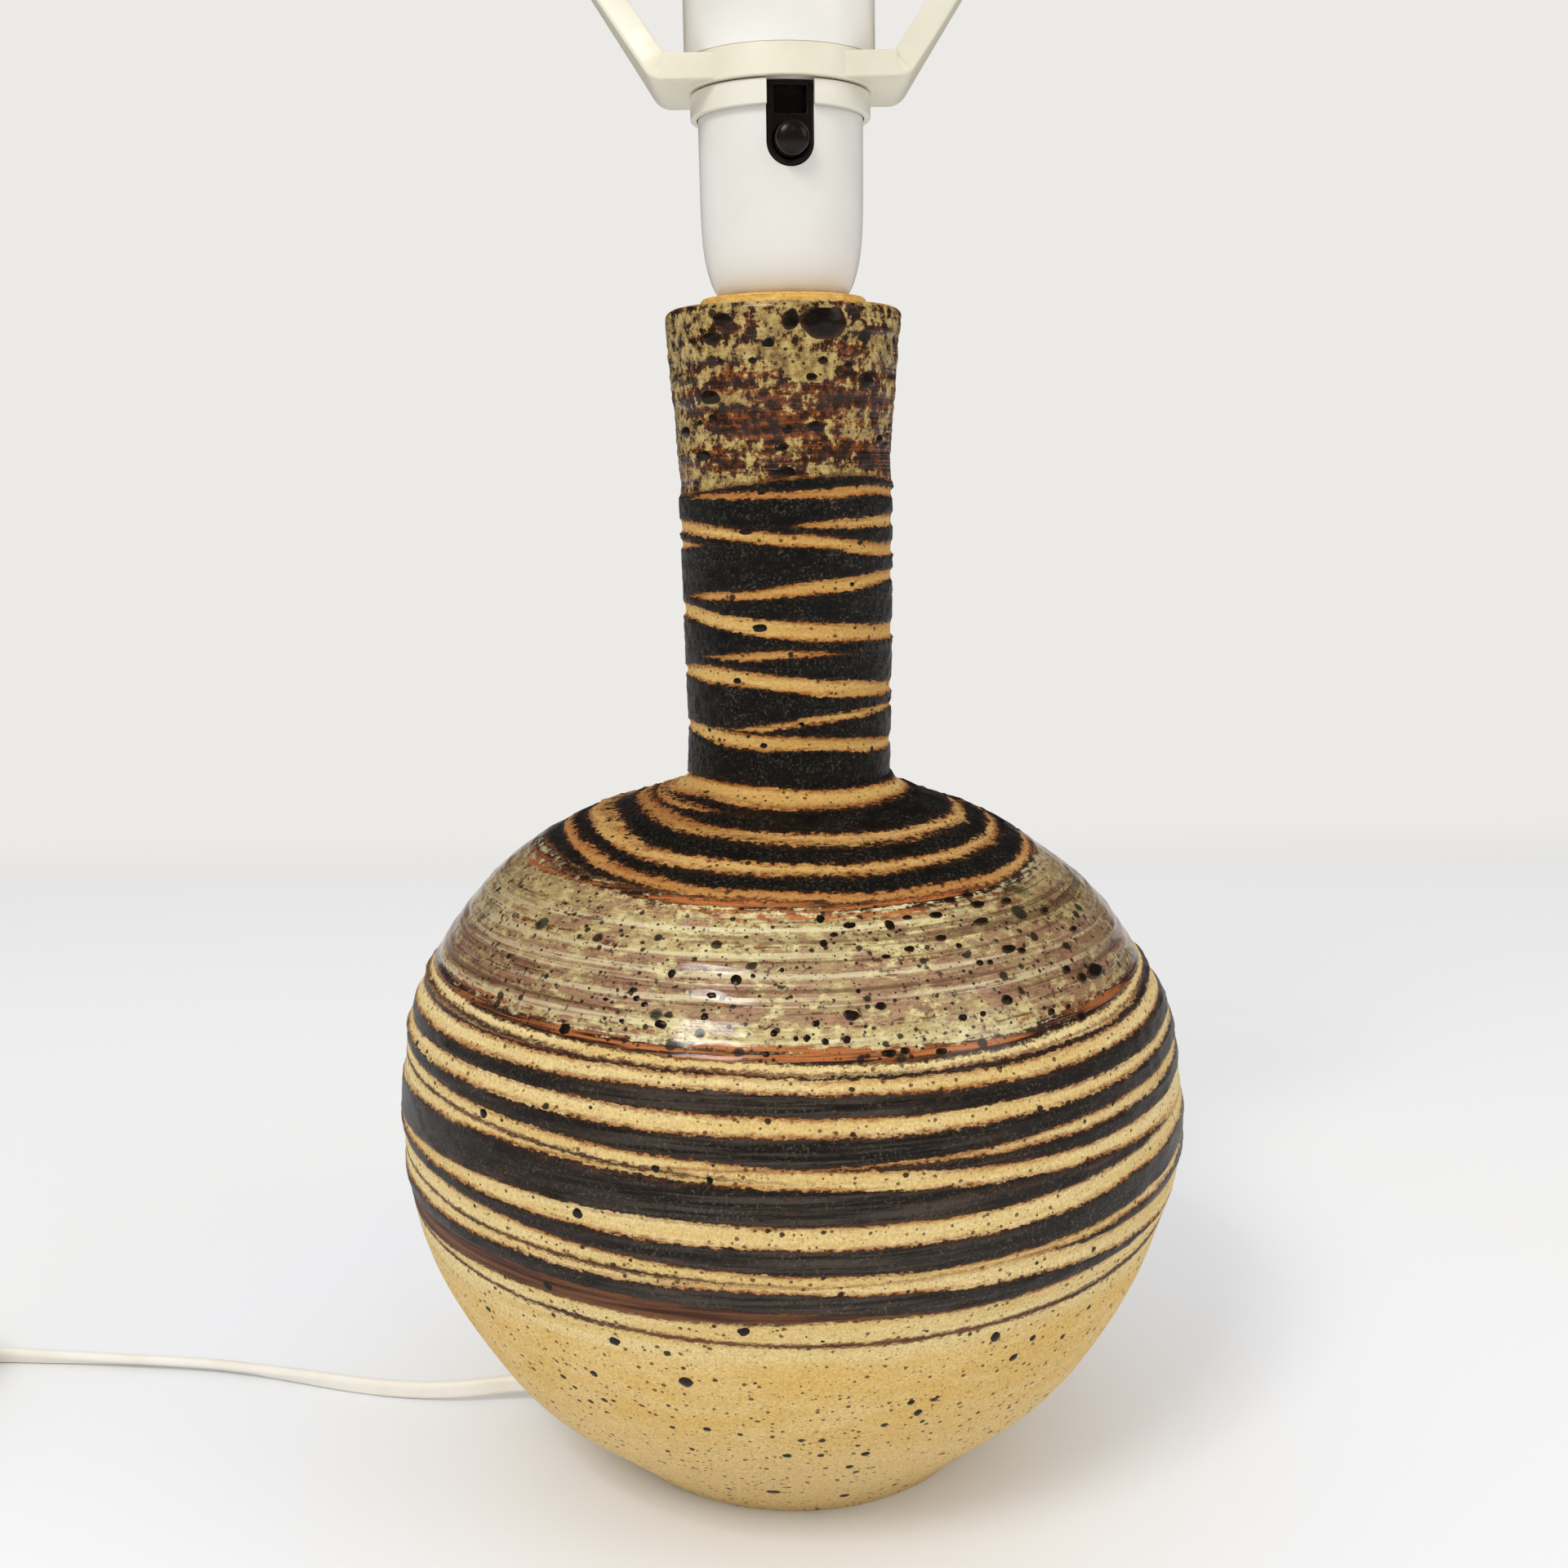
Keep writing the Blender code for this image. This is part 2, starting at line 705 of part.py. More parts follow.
def make_terminals():
    """Two brass blocks beside the housing, each with a screw from below."""
    head_top = terminal_bottom - seat_gap
    head_bottom = head_top - terminal_head_height
    tip = terminal_bottom + terminal_screw_depth
    screw_outline = [
        (0.0, head_bottom),
        (terminal_head_radius, head_bottom),
        (terminal_head_radius, head_top),
        (terminal_screw_radius, head_top),
        (terminal_screw_radius, tip),
        (0.0, tip),
    ]
    for name, side in sides_of_holder:
        block, hole, screw = bmesh.new(), bmesh.new(), bmesh.new()
        ends = sorted((side * terminal_inner, side * terminal_outer))
        low = (ends[0], terminal_start, terminal_bottom)
        add_block(block, low, (ends[1], terminal_start + terminal_length, terminal_top))
        place = Matrix.Translation((side * terminal_screw_x, terminal_screw_y, 0.0))
        hole_outline = rod_outline(terminal_screw_radius + seat_gap, terminal_bottom - overrun, tip + seat_gap)
        add_turned(hole, hole_outline, small_sides, place)
        add_turned(screw, screw_outline, small_sides, place)
        block = finished(f"terminal_block_{name}", block, brass, holder)
        combine(block, cutter(f"terminal_hole_tool_{name}", hole, holder))
        finished(f"terminal_screw_{name}", screw, steel, holder)


def make_socket():
    base_outline = rod_outline(shell_bore - seat_gap, base_bottom, base_top)
    base = turned("socket_base", base_outline, porcelain, middle_sides, holder)
    upper = metal_seat + leaf_thickness + 2 * seat_gap
    head = [(0.0, -rivet_head_height), (rivet_head_radius, -rivet_head_height), (rivet_head_radius, 0.0)]
    below = [(radius, base_bottom - seat_gap + rise) for radius, rise in head]
    above = [(radius, upper - rise) for radius, rise in reversed(head)]
    rivet_outline = [*below, (rivet_radius, below[-1][1]), (rivet_radius, above[0][1]), *above]
    strap_top = below[0][1] - seat_gap
    holes = bmesh.new()
    for name, side in sides_of_holder:
        rivet, strap = bmesh.new(), bmesh.new()
        middle = side * rivet_reach
        place = Matrix.Translation((middle, 0.0, 0.0))
        hole_outline = rod_outline(rivet_radius + seat_gap, base_bottom - overrun, base_top + overrun)
        add_turned(holes, hole_outline, small_sides, place)
        add_turned(rivet, rivet_outline, small_sides, place)
        low = (middle - strap_thickness / 2, terminal_start, terminal_top + seat_gap)
        add_block(strap, low, (middle + strap_thickness / 2, terminal_start + strap_width, strap_top))
        finished(f"contact_rivet_{name}", rivet, brass, holder)
        finished(f"contact_strap_{name}", strap, brass, holder)
    rivet_holes = cutter("rivet_hole_tool", holes, holder)
    combine(base, rivet_holes)

    wave = [(screw_shell_radius, metal_seat)]
    for turn in range(screw_shell_turns):
        start = metal_seat + screw_shell_pitch * turn
        wave += [
            (screw_shell_radius + screw_shell_depth, start + screw_shell_pitch / 2),
            (screw_shell_radius, start + screw_shell_pitch),
        ]
    back = [(radius + screw_shell_wall, height) for radius, height in reversed(wave)]
    shell = turned("screw_shell", [*wave, *back], brass, middle_sides, holder)
    tab = bmesh.new()
    low = (rivet_reach - tab_reach, -tab_width / 2, metal_seat + tab_lift)
    high = (screw_shell_radius + tab_bite, tab_width / 2, low[2] + leaf_thickness)
    add_block(tab, low, high)
    combine(shell, cutter("shell_tab_tool", tab, holder), "UNION")
    combine(shell, rivet_holes)

    leaf = bmesh.new()
    foot_start, foot_end = -rivet_reach - leaf_foot, -rivet_reach + rivet_head_radius + seat_gap
    line = [
        (foot_start, metal_seat),
        (foot_end, metal_seat),
        (foot_end + leaf_slope_run, metal_seat + leaf_rise - leaf_tip_drop),
        (leaf_crown_reach, metal_seat + leaf_rise),
        (leaf_tip_reach, metal_seat + leaf_rise - leaf_tip_drop),
    ]
    over = [(x, z + leaf_thickness) for x, z in reversed(line)]
    add_slab(leaf, [*line, *over], -leaf_width / 2, leaf_width / 2)
    leaf = finished("centre_contact", leaf, brass, holder)
    combine(leaf, rivet_holes)


def make_cord_grip():
    """Two clamp halves over the end of the nipple, with the flex between them."""
    far = cord_bore + grip_width
    top = grip_bottom + grip_height
    middle = (grip_bottom + top) / 2
    holes = bmesh.new()
    screw_outline = [
        (0.0, -far),
        (grip_screw_radius, -far),
        (grip_screw_radius, far + seat_gap),
        (grip_head_radius, far + seat_gap),
        (grip_head_radius, far + seat_gap + grip_head_height),
        (0.0, far + seat_gap + grip_head_height),
    ]
    for name, side in sides_of_holder:
        screw = bmesh.new()
        place = lying_along_y((side * grip_screw_reach, 0.0, middle))
        hole_outline = rod_outline(grip_screw_radius + seat_gap, -far - overrun, far + overrun)
        add_turned(holes, hole_outline, small_sides, place)
        add_turned(screw, screw_outline, small_sides, place)
        finished(f"cord_grip_screw_{name}", screw, steel, holder)
    holes = cutter("grip_hole_tool", holes, holder)
    for name, side in (("front", -1), ("rear", 1)):
        half = bmesh.new()
        ends = sorted((side * cord_bore, side * far))
        add_block(half, (-grip_length / 2, ends[0], grip_bottom), (grip_length / 2, ends[1], top))
        combine(finished(f"cord_grip_{name}", half, white_plastic, holder), holes)


def channel_section(half_width, depth, lean):
    """A channel open towards its inner side, as (across, inwards) points."""
    inner = half_width - carrier_wall
    return [
        (-half_width, 0.0),
        (half_width, 0.0),
        (half_width - lean, depth),
        (inner - lean, depth),
        (inner, carrier_plate),
        (-inner, carrier_plate),
        (-inner + lean, depth),
        (-half_width + lean, depth),
    ]


def carrier_stations():
    """Places of the channel from the middle out to one arm's tip: (x, z, turn of the section, widths)."""
    web_reach = shade_ring_radius + shade_ring_wall / 2 - seat_gap
    knee_rise = (web_reach - carrier_reach) * math.tan(arm_slope)
    tip_rise = carrier_height - shade_ring_height - hub_lip + ring_overlap
    taper = carrier_half_width - arm_half_width
    stations = [(0.0, 0.0, 0.0, 1.0, carrier_half_width, 0.0)]
    stations.append((carrier_flat_reach, 0.0, 0.0, 1.0, carrier_half_width, 0.0))
    half_turn = arm_slope / 2
    bend_width = carrier_half_width - taper * arm_bend_share
    stations.append((carrier_reach, 0.0, half_turn, 1 / math.cos(half_turn), bend_width, 0.0))
    for rise_share, width_share in arm_taper_shares:
        rise = arm_taper_rise * rise_share
        x = carrier_reach + rise / math.tan(arm_slope)
        lean = flange_lean * rise_share
        stations.append((x, rise, arm_slope, 1.0, carrier_half_width - taper * width_share, lean))
    knee_turn = (arm_slope + math.pi / 2) / 2
    stretch = 1 / math.cos(math.pi / 2 - knee_turn)
    stations.append((web_reach, knee_rise, knee_turn, stretch, strap_half_width, flange_lean))
    stations.append((web_reach, tip_rise, math.pi / 2, 1.0, strap_half_width, flange_lean))
    return stations


def make_carrier():
    """A bent channel with a hub in its middle and a ring for the shade across its two arms."""
    bm = bmesh.new()
    right = carrier_stations()
    left = [(-x, z, -turn, stretch, width, lean) for x, z, turn, stretch, width, lean in reversed(right[1:])]
    rings = []
    for x, z, turn, stretch, width, lean in [*left, *right]:
        inward = Vector((-math.sin(turn), 0.0, math.cos(turn))) * stretch
        corner = Vector((x, 0.0, carrier_base + z))
        section = channel_section(width, carrier_wall_height, lean)
        places = [corner + Vector((0.0, across, 0.0)) + inward * deep for across, deep in section]
        rings.append([bm.verts.new(place) for place in places])
    for a, b in zip(rings, rings[1:]):
        for index in range(len(a)):
            after = (index + 1) % len(a)
            bm.faces.new((a[index], a[after], b[after], b[index]))
    bm.faces.new(rings[0])
    bm.faces.new(rings[-1])
    carrier = finished("shade_carrier", bm, ivory_plastic)
    hub = bmesh.new()
    add_turned(hub, rod_outline(hub_radius, hub_base, hub_top), big_sides)
    combine(carrier, cutter("hub_tool", hub), "UNION")
    ring = bmesh.new()
    inner, outer = shade_ring_radius - shade_ring_wall / 2, shade_ring_radius + shade_ring_wall / 2
    add_turned(ring, tube_outline(inner, outer, carrier_top - shade_ring_height, carrier_top), big_sides)
    combine(carrier, cutter("shade_ring_tool", ring), "UNION")
    bore = bmesh.new()
    add_turned(bore, rod_outline(hub_bore, hub_base - overrun, hub_top + overrun), big_sides)
    combine(carrier, cutter("hub_bore_tool", bore))


def make_sleeve():
    lip = sleeve_bore - sleeve_lip_width
    outline = [
        (sleeve_bore, sleeve_bottom),
        (sleeve_radius, sleeve_bottom),
        (sleeve_radius, sleeve_top - sleeve_edge),
        (sleeve_radius - sleeve_edge, sleeve_top),
        (lip, sleeve_top),
        (lip, sleeve_top - sleeve_lip_height),
        (sleeve_bore, sleeve_top - sleeve_lip_height),
    ]
    turned("clamp_sleeve", outline, white_plastic, holder_sides)


def make_inner_flex():
    start = exit_place - exit_way * (exit_wall + grommet_flange_thickness + overrun)
    end = Vector((0.0, 0.0, cord_end))
    route = smooth_route([start, *inner_route, (0.0, 0.0, nipple_bottom), end], cord_step)
    bend_in = exit_place + exit_way * (grommet_reach - seat_gap)
    flex("inner_cord", [bend_in, *route], cord_radius, flex_plastic)
    foot_rise = cord_end + seat_gap
    target = terminal_bottom - seat_gap
    x = terminal_inner + core_diameter / 2 + seat_gap
    y = terminal_start + core_diameter / 2 + seat_gap
    for name, side in sides_of_holder:
        points = [
            (side * (core_spread + (x - core_spread) * out), y * out, foot_rise + (target - foot_rise) * up)
            for out, up in ((0.0, 0.0), *core_shares, (1.0, 1.0))
        ]
        route = smooth_route(points, core_step)
        flex(f"core_wire_{name}", route, core_diameter / 2, core_plastic, parent=holder)


def coil_route():
    """The coil's centreline: it spirals in and out, and climbs a layer in each half turn where it reverses."""
    total = coil_layers * coil_layer_angle
    count = round(total / (2 * math.pi) * coil_points)
    route = []
    for index in range(count + 1):
        angle = total * index / count
        layer, inside_layer = divmod(angle, coil_layer_angle)
        if layer % 2 == 0:
            radius = coil_outer - coil_pitch * inside_layer / (2 * math.pi)
        else:
            radius = coil_inner + coil_pitch * inside_layer / (2 * math.pi)
        if index == count:
            radius = coil_outer if coil_layers % 2 == 0 else coil_inner
        climbed = 0.0
        for reversal in range(1, coil_layers):
            share = (angle - reversal * coil_layer_angle) / math.pi + 0.5
            climbed += min(1.0, max(0.0, share))
        turn = math.pi / 2 + angle
        place = (coil_place[0] + radius * math.cos(turn), coil_place[1] + radius * math.sin(turn))
        route.append(Vector((*place, coil_floor + coil_pitch * climbed)))
    straight = Vector((cord_diameter, 0.0, 0.0))
    return [route[0] + straight, *route, route[-1] - straight]


def least_gap(route, diameter):
    """The least gap between stretches of a tube that lie more than a third of a turn apart."""
    skip = coil_points // 3
    least = min(
        (a - b).length for index, a in enumerate(route) for b in route[index + skip :]
    )
    return least - diameter


def make_free_flex():
    coil = coil_route()
    start = exit_place + exit_way * grommet_reach
    leftwards, forwards = Vector((-1.0, 0.0, 0.0)), Vector((0.0, -1.0, 0.0))
    run = squared_route(start, exit_way, table_route, coil[0] - leftwards * seat_gap, leftwards)
    tail_start = coil[-1] + leftwards * seat_gap
    tail_end = Vector((*plug_place, plug_axis))
    tail = squared_route(tail_start, leftwards, tail_route, tail_end, forwards)
    flex("cord", run, cord_radius, flex_plastic)
    flex("cord_coil", coil, cord_radius, flex_plastic, resolution=1)
    flex("cord_tail", tail, cord_radius, flex_plastic)
    print(f"coil least gap {least_gap(coil, cord_diameter) * 1000:.2f} mm")
    print(f"flex length {sum(route_length(route) for route in (run, coil, tail)):.3f} m")


def make_tie():
    """A band round the bundle of turns."""
    inner_low = coil_inner - cord_radius - tie_gap
    inner_high = coil_outer + cord_radius + tie_gap
    top = coil_floor + coil_pitch * (coil_layers - 1) + cord_radius + tie_gap
    band = bmesh.new()
    outline = [
        (inner_low - tie_thickness, 0.0),
        (inner_high + tie_thickness, 0.0),
        (inner_high + tie_thickness, top + tie_thickness),
        (inner_low - tie_thickness, top + tie_thickness),
    ]
    add_slab(band, outline, -tie_width / 2, tie_width / 2)
    place = bpy.data.objects.new("tie_place", None)
    bpy.context.scene.collection.objects.link(place)
    place.location = (*coil_place, 0.0)
    place.rotation_euler = (0.0, 0.0, tie_turn)
    band = finished("coil_tie", band, black_plastic, place)
    hollow = bmesh.new()
    low = (inner_low, -tie_width, tie_thickness)
    add_block(hollow, low, (inner_high, tie_width, top))
    combine(band, cutter("tie_hollow_tool", hollow, place))


def make_plug():
    """A flat two-pin plug lying on the table, its axis along Y."""
    x, y = plug_place
    relief = bmesh.new()
    outer = [(cord_bore + plug_relief_tip_wall, 0.0)]
    rib = plug_relief_length / (2 * plug_relief_ribs + 2)
    thick = plug_relief_radius - cord_bore - plug_relief_tip_wall
    for index in range(1, 2 * plug_relief_ribs + 2):
        radius = cord_bore + plug_relief_tip_wall + thick * index * rib / plug_relief_length
        outer.append((radius + (plug_relief_rib_rise if index % 2 else 0.0), index * rib))
    outline = [(0.0, 0.0), *outer, (plug_relief_radius, plug_relief_length), (0.0, plug_relief_length)]
    start = y - seat_gap
    backwards = Matrix.Translation((x, start, plug_axis)) @ Matrix.Rotation(math.pi / 2, 4, "X")
    add_turned(relief, outline, small_sides, backwards)
    finished("plug_relief", relief, flex_plastic)

    neck = start - plug_relief_length - seat_gap
    face = neck - plug_length
    shoulder = face + plug_face_length
    half, hip, narrow = plug_width / 2, plug_hip_width / 2, plug_neck_width / 2
    hip_place = neck - plug_hip_length
    plan = [
        (narrow, neck), (hip, hip_place), (half, shoulder), (half, face),
        (-half, face), (-half, shoulder), (-hip, hip_place), (-narrow, neck),
    ]
    body = bmesh.new()
    lower = body.faces.new([body.verts.new((x + across, along, 0.0)) for across, along in plan])
    raised = bmesh.ops.extrude_face_region(body, geom=[lower])["geom"]
    moved = [item for item in raised if isinstance(item, bmesh.types.BMVert)]
    bmesh.ops.translate(body, vec=(0.0, 0.0, plug_thickness), verts=moved)
    body = finished("plug_body", body, flex_plastic)
    rounding = body.modifiers.new("rounding", "BEVEL")
    rounding.width = plug_edge
    rounding.segments = plug_edge_steps
    rounding.limit_method = "ANGLE"
    rounding.angle_limit = math.radians(30.0)

    outline = [
        (0.0, 0.0),
        (pin_radius, 0.0),
        (pin_radius, pin_length - pin_tip),
        (pin_radius - pin_tip, pin_length),
        (0.0, pin_length),
    ]
    for name, side in sides_of_holder:
        pin = bmesh.new()
        place = (x + side * pin_spacing / 2, face - seat_gap, plug_axis)
        add_turned(pin, outline, small_sides, Matrix.Translation(place) @ Matrix.Rotation(math.pi / 2, 4, "X"))
        finished(f"plug_pin_{name}", pin, nickel)


def make_holder():
    slot = bmesh.new()
    reach = collar_radius + overrun
    add_slab(slot, slot_outline(slot_width / 2, slot_bottom, collar_top + seat_gap), -reach, reach)
    slot = cutter("slot_tool", slot, holder)
    make_cap(slot)
    make_shell(slot)
    make_switch()
    make_terminals()
    make_socket()
    make_cord_grip()


make_body()
make_grommet()
make_nipple_set()
make_holder()
make_carrier()
make_sleeve()
make_inner_flex()
make_free_flex()
make_tie()
make_plug()
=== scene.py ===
# %% [markdown]
# # A striped stoneware table lamp
# The lamp is a thrown pot with bands of dark slip and glossy glaze, a white lamp holder with a push-through
# switch, an ivory shade carrier and a flat flex. Its solids come from the packed model, which loads first.
# Most pieces are then made again here with smoother shapes, and each one gets a material of its own.

# %% Load the packed model
import math

import bmesh
import bpy
from mathutils import Matrix, Vector, noise


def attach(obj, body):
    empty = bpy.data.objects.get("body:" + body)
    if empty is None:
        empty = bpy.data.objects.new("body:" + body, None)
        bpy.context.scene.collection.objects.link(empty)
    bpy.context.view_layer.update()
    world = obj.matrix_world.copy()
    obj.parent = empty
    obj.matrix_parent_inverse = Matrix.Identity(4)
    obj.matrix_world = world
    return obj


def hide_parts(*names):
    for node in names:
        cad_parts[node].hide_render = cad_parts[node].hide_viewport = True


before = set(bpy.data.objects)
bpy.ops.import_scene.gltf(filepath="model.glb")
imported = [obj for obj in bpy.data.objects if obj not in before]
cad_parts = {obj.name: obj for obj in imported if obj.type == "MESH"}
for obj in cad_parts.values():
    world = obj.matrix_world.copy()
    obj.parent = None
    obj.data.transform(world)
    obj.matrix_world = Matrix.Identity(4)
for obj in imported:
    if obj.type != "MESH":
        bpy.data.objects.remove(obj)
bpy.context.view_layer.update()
scene = bpy.context.scene

# %% [markdown]
# ## Camera
# The photograph was taken from close by, a little above the neck, and tips down. A plain pinhole camera with
# the lens, place and tilt measured from the picture gives the same perspective. Its small roll makes the lamp
# lean to the left, as it does in the picture.

# %% Camera
image_side = 1920
focal_length = 2150
pitch = math.radians(9.8)
roll = math.radians(-0.9)
sensor_width = 36.0
camera_data = bpy.data.cameras.new("camera")
camera_data.sensor_width = sensor_width
camera_data.lens = sensor_width * focal_length / image_side
camera = bpy.data.objects.new("camera", camera_data)
camera.location = (-0.0016, -0.431, 0.244)
turn = Matrix.Rotation(math.pi / 2 - pitch, 3, "X") @ Matrix.Rotation(roll, 3, "Z")
camera.rotation_euler = turn.to_euler()
scene.collection.objects.link(camera)
scene.camera = camera
print("lens", round(camera_data.lens, 2), "mm")

# %% [markdown]
# ## Colours and a net of nodes
# Colours are written as they look on a screen, from 0 to 255, and turned into the linear values that Blender
# wants. A material is a tree of nodes, and most of its nodes do one small sum. So the class Net holds a tree,
# and each of its methods adds one node, joins what it is given and returns the socket that comes out.


# %% Colours
def paint(red, green, blue):
    """A linear colour with alpha from screen values."""
    channels = [value / 255 for value in (red, green, blue)]
    linear = [c / 12.92 if c <= 0.04045 else ((c + 0.055) / 1.055) ** 2.4 for c in channels]
    return (*linear, 1.0)


print("a middle grey is", round(paint(128, 128, 128)[0], 3), "in linear light")


# %% Net of nodes
class Net:
    """A node tree with short ways to add to it."""

    def __init__(self, tree):
        self.tree = tree

    def add(self, kind, **settings):
        """A shader node with its settings."""
        node = self.tree.nodes.new(f"ShaderNode{kind}")
        for name, value in settings.items():
            setattr(node, name, value)
        return node

    def join(self, value, socket):
        """Links a socket, or sets a plain value."""
        if isinstance(value, bpy.types.NodeSocket):
            self.tree.links.new(value, socket)
        else:
            socket.default_value = value

    def fill(self, sockets, values):
        """Joins values to sockets by name or number."""
        for label, value in values.items():
            self.join(value, sockets[label])

    def calc(self, operation, *values):
        node = self.add("Math", operation=operation)
        self.fill(node.inputs, dict(enumerate(values)))
        return node.outputs[0]

    def times(self, first, second):
        return self.calc("MULTIPLY", first, second)

    def plus(self, value, factor, rest):
        """The value times a factor, plus the rest."""
        return self.calc("MULTIPLY_ADD", value, factor, rest)

    def most(self, first, *others):
        """The greatest of some values."""
        for other in others:
            first = self.calc("MAXIMUM", first, other)
        return first

    def vector(self, operation, *values):
        node = self.add("VectorMath", operation=operation)
        self.fill(node.inputs, dict(enumerate(values)))
        return node.outputs[0]

    def split(self, vector):
        """The three parts of a vector."""
        node = self.add("SeparateXYZ")
        self.join(vector, node.inputs[0])
        return node.outputs

    def step(self, value, low, high):
        """0 at low, 1 at high, and a smooth way between them."""
        node = self.add("MapRange", interpolation_type="SMOOTHSTEP")
        self.fill(node.inputs, {"Value": value, "From Min": low, "From Max": high})
        return node.outputs[0]

    def spread(self, value, low, high):
        """A value between 0 and 1, spread from low to high."""
        node = self.add("MapRange")
        self.fill(node.inputs, {"Value": value, "To Min": low, "To Max": high})
        return node.outputs[0]

    def mix(self, share, first, second, blend="MIX"):
        """Two colours mixed by a share."""
        node = self.add("Mix", data_type="RGBA", blend_type=blend)
        self.fill(node.inputs, {0: share, 6: first, 7: second})
        return node.outputs[2]

    def mix_values(self, share, first, second):
        node = self.add("Mix")
        self.fill(node.inputs, {0: share, 2: first, 3: second})
        return node.outputs[0]

    def coats(self, below, *layers):
        """Lays colours over one another. A layer is where it lies, how strongly, and its colour."""
        for share, weight, colour in layers:
            below = self.mix(self.times(share, weight) if weight < 1 else share, below, colour)
        return below

    def place(self):
        """Object coordinates: metres from the middle of the foot."""
        return self.add("TexCoord").outputs["Object"]

    def noise_on(self, vector, scale, detail=2.0, roughness=0.5):
        node = self.add("TexNoise")
        self.fill(node.inputs, {"Vector": vector, "Scale": scale, "Detail": detail, "Roughness": roughness})
        return node.outputs["Fac"]

    def noise(self, across, up, detail=2.0, roughness=0.5):
        """Noise with its fineness across the lamp and up it, in waves per metre."""
        stretched = self.vector("MULTIPLY", self.place(), (across, across, up))
        return self.noise_on(stretched, 1.0, detail, roughness)

    def bump(self, height, strength, distance):
        node = self.add("Bump")
        self.fill(node.inputs, {"Strength": strength, "Distance": distance, "Height": height})
        return node.outputs[0]

    def group(self, effect, **values):
        """The outputs of an effect that is placed with its own values."""
        node = self.add("Group", node_tree=effect.tree)
        self.fill(node.inputs, values)
        return node.outputs

    def blend_shaders(self, share, first, second, output):
        """Two shaders mixed by a share and led to the tree's output."""
        node = self.add("MixShader")
        self.fill(node.inputs, {0: share, 1: first.outputs[0], 2: second.outputs[0]})
        self.join(node.outputs[0], self.tree.nodes[output].inputs["Surface"])


def new_look(name):
    """The net of a new material, with the material and its Principled shader."""
    made = bpy.data.materials.new(name)
    made.use_nodes = True
    net = Net(made.node_tree)
    net.look, net.shader = made, made.node_tree.nodes["Principled BSDF"]
    return net


def new_effect(name, inputs, outputs):
    """The net of a new node group whose sockets carry numbers."""
    made = bpy.data.node_groups.new(name, "ShaderNodeTree")
    for label, value in inputs.items():
        made.interface.new_socket(label, in_out="INPUT", socket_type="NodeSocketFloat").default_value = value
    for label in outputs:
        made.interface.new_socket(label, in_out="OUTPUT", socket_type="NodeSocketFloat")
    net = Net(made)
    net.entry = made.nodes.new("NodeGroupInput").outputs
    net.leave = made.nodes.new("NodeGroupOutput").inputs
    return net


print("a net has", sum(not name.startswith("_") for name in vars(Net)), "ways to add to a tree")

# %% [markdown]
# ## Shape helpers
# Most of the lamp is round, so an outline is spun about the vertical axis. A spun mesh has its doubles merged
# and its normals worked out again before anything else is done to it. The holder was screwed down a few
# degrees past the front, so its pieces are made straight and then turned.

# %% Shape helpers
holder_turn = Matrix.Rotation(math.radians(6.5), 4, "Z")
plain_place = Matrix.Identity(4)
sharp_angle = math.radians(38)
cubic_parts = 16


def smooth_route(points, step):
    """Points about one step apart on a smooth curve through the given points."""
    given = [Vector(p) for p in points]
    padded = [given[0] * 2 - given[1], *given, given[-1] * 2 - given[-2]]
    fine = []
    for a, b, c, d in zip(padded, padded[1:], padded[2:], padded[3:]):
        for part in range(cubic_parts):
            t = part / cubic_parts
            cubic = (a * 2 - b * 5 + c * 4 - d) * t**2 + (b * 3 - a - c * 3 + d) * t**3
            fine.append((b * 2 + (c - a) * t + cubic) / 2)
    fine.append(given[-1])
    lengths = [0.0]
    for a, b in zip(fine, fine[1:]):
        lengths.append(lengths[-1] + (b - a).length)
    count = max(2, round(lengths[-1] / step))
    route, at = [], 0
    for index in range(count):
        wanted = lengths[-1] * index / count
        while lengths[at + 1] < wanted:
            at += 1
        share = (wanted - lengths[at]) / (lengths[at + 1] - lengths[at])
        route.append(fine[at].lerp(fine[at + 1], share))
    return [*route, fine[-1]]


print("a route of 10 mm in steps of 2 mm:", len(smooth_route([(0, 0, 0), (0.01, 0, 0)], 0.002)), "points")


# %% Finished pieces
def finished(name, bm, look, body="base", stands_for=(), place=plain_place, slot_name=None):
    """One object from a bmesh, riding on a CAD body and standing for the CAD nodes named."""
    bmesh.ops.transform(bm, matrix=place, verts=bm.verts)
    mesh = bpy.data.meshes.new(name)
    bm.to_mesh(mesh)
    bm.free()
    mesh.shade_smooth()
    mesh.set_sharp_from_angle(angle=sharp_angle)
    mesh.materials.append(look)
    thing = bpy.data.objects.new(name, mesh)
    scene.collection.objects.link(thing)
    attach(thing, body)
    if stands_for:
        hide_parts(*stands_for)
    print(name, len(mesh.polygons), "faces")
    return thing


# %% [markdown]
# A spun outline makes every round piece. Its corners are turned into small arcs first, because a real edge
# is never quite sharp and catches the light. Slots and bores are cut by an exact Boolean, which wants closed
# shapes that point outwards.


# %% Spun, rounded and cut shapes
def spun(outline, sides, closed=True):
    """A bmesh from (radius, height) points turned about the vertical axis."""
    bm = bmesh.new()
    points = [bm.verts.new((radius, 0.0, height)) for radius, height in outline]
    edges = [bm.edges.new(pair) for pair in zip(points, points[1:])]
    if closed:
        edges.append(bm.edges.new((points[-1], points[0])))
    whole_turn = {"cent": (0, 0, 0), "axis": (0, 0, 1), "angle": 2 * math.pi, "use_merge": True}
    bmesh.ops.spin(bm, geom=points + edges, steps=sides, **whole_turn)
    bmesh.ops.remove_doubles(bm, verts=bm.verts, dist=1e-7)
    bmesh.ops.recalc_face_normals(bm, faces=bm.faces)
    return bm


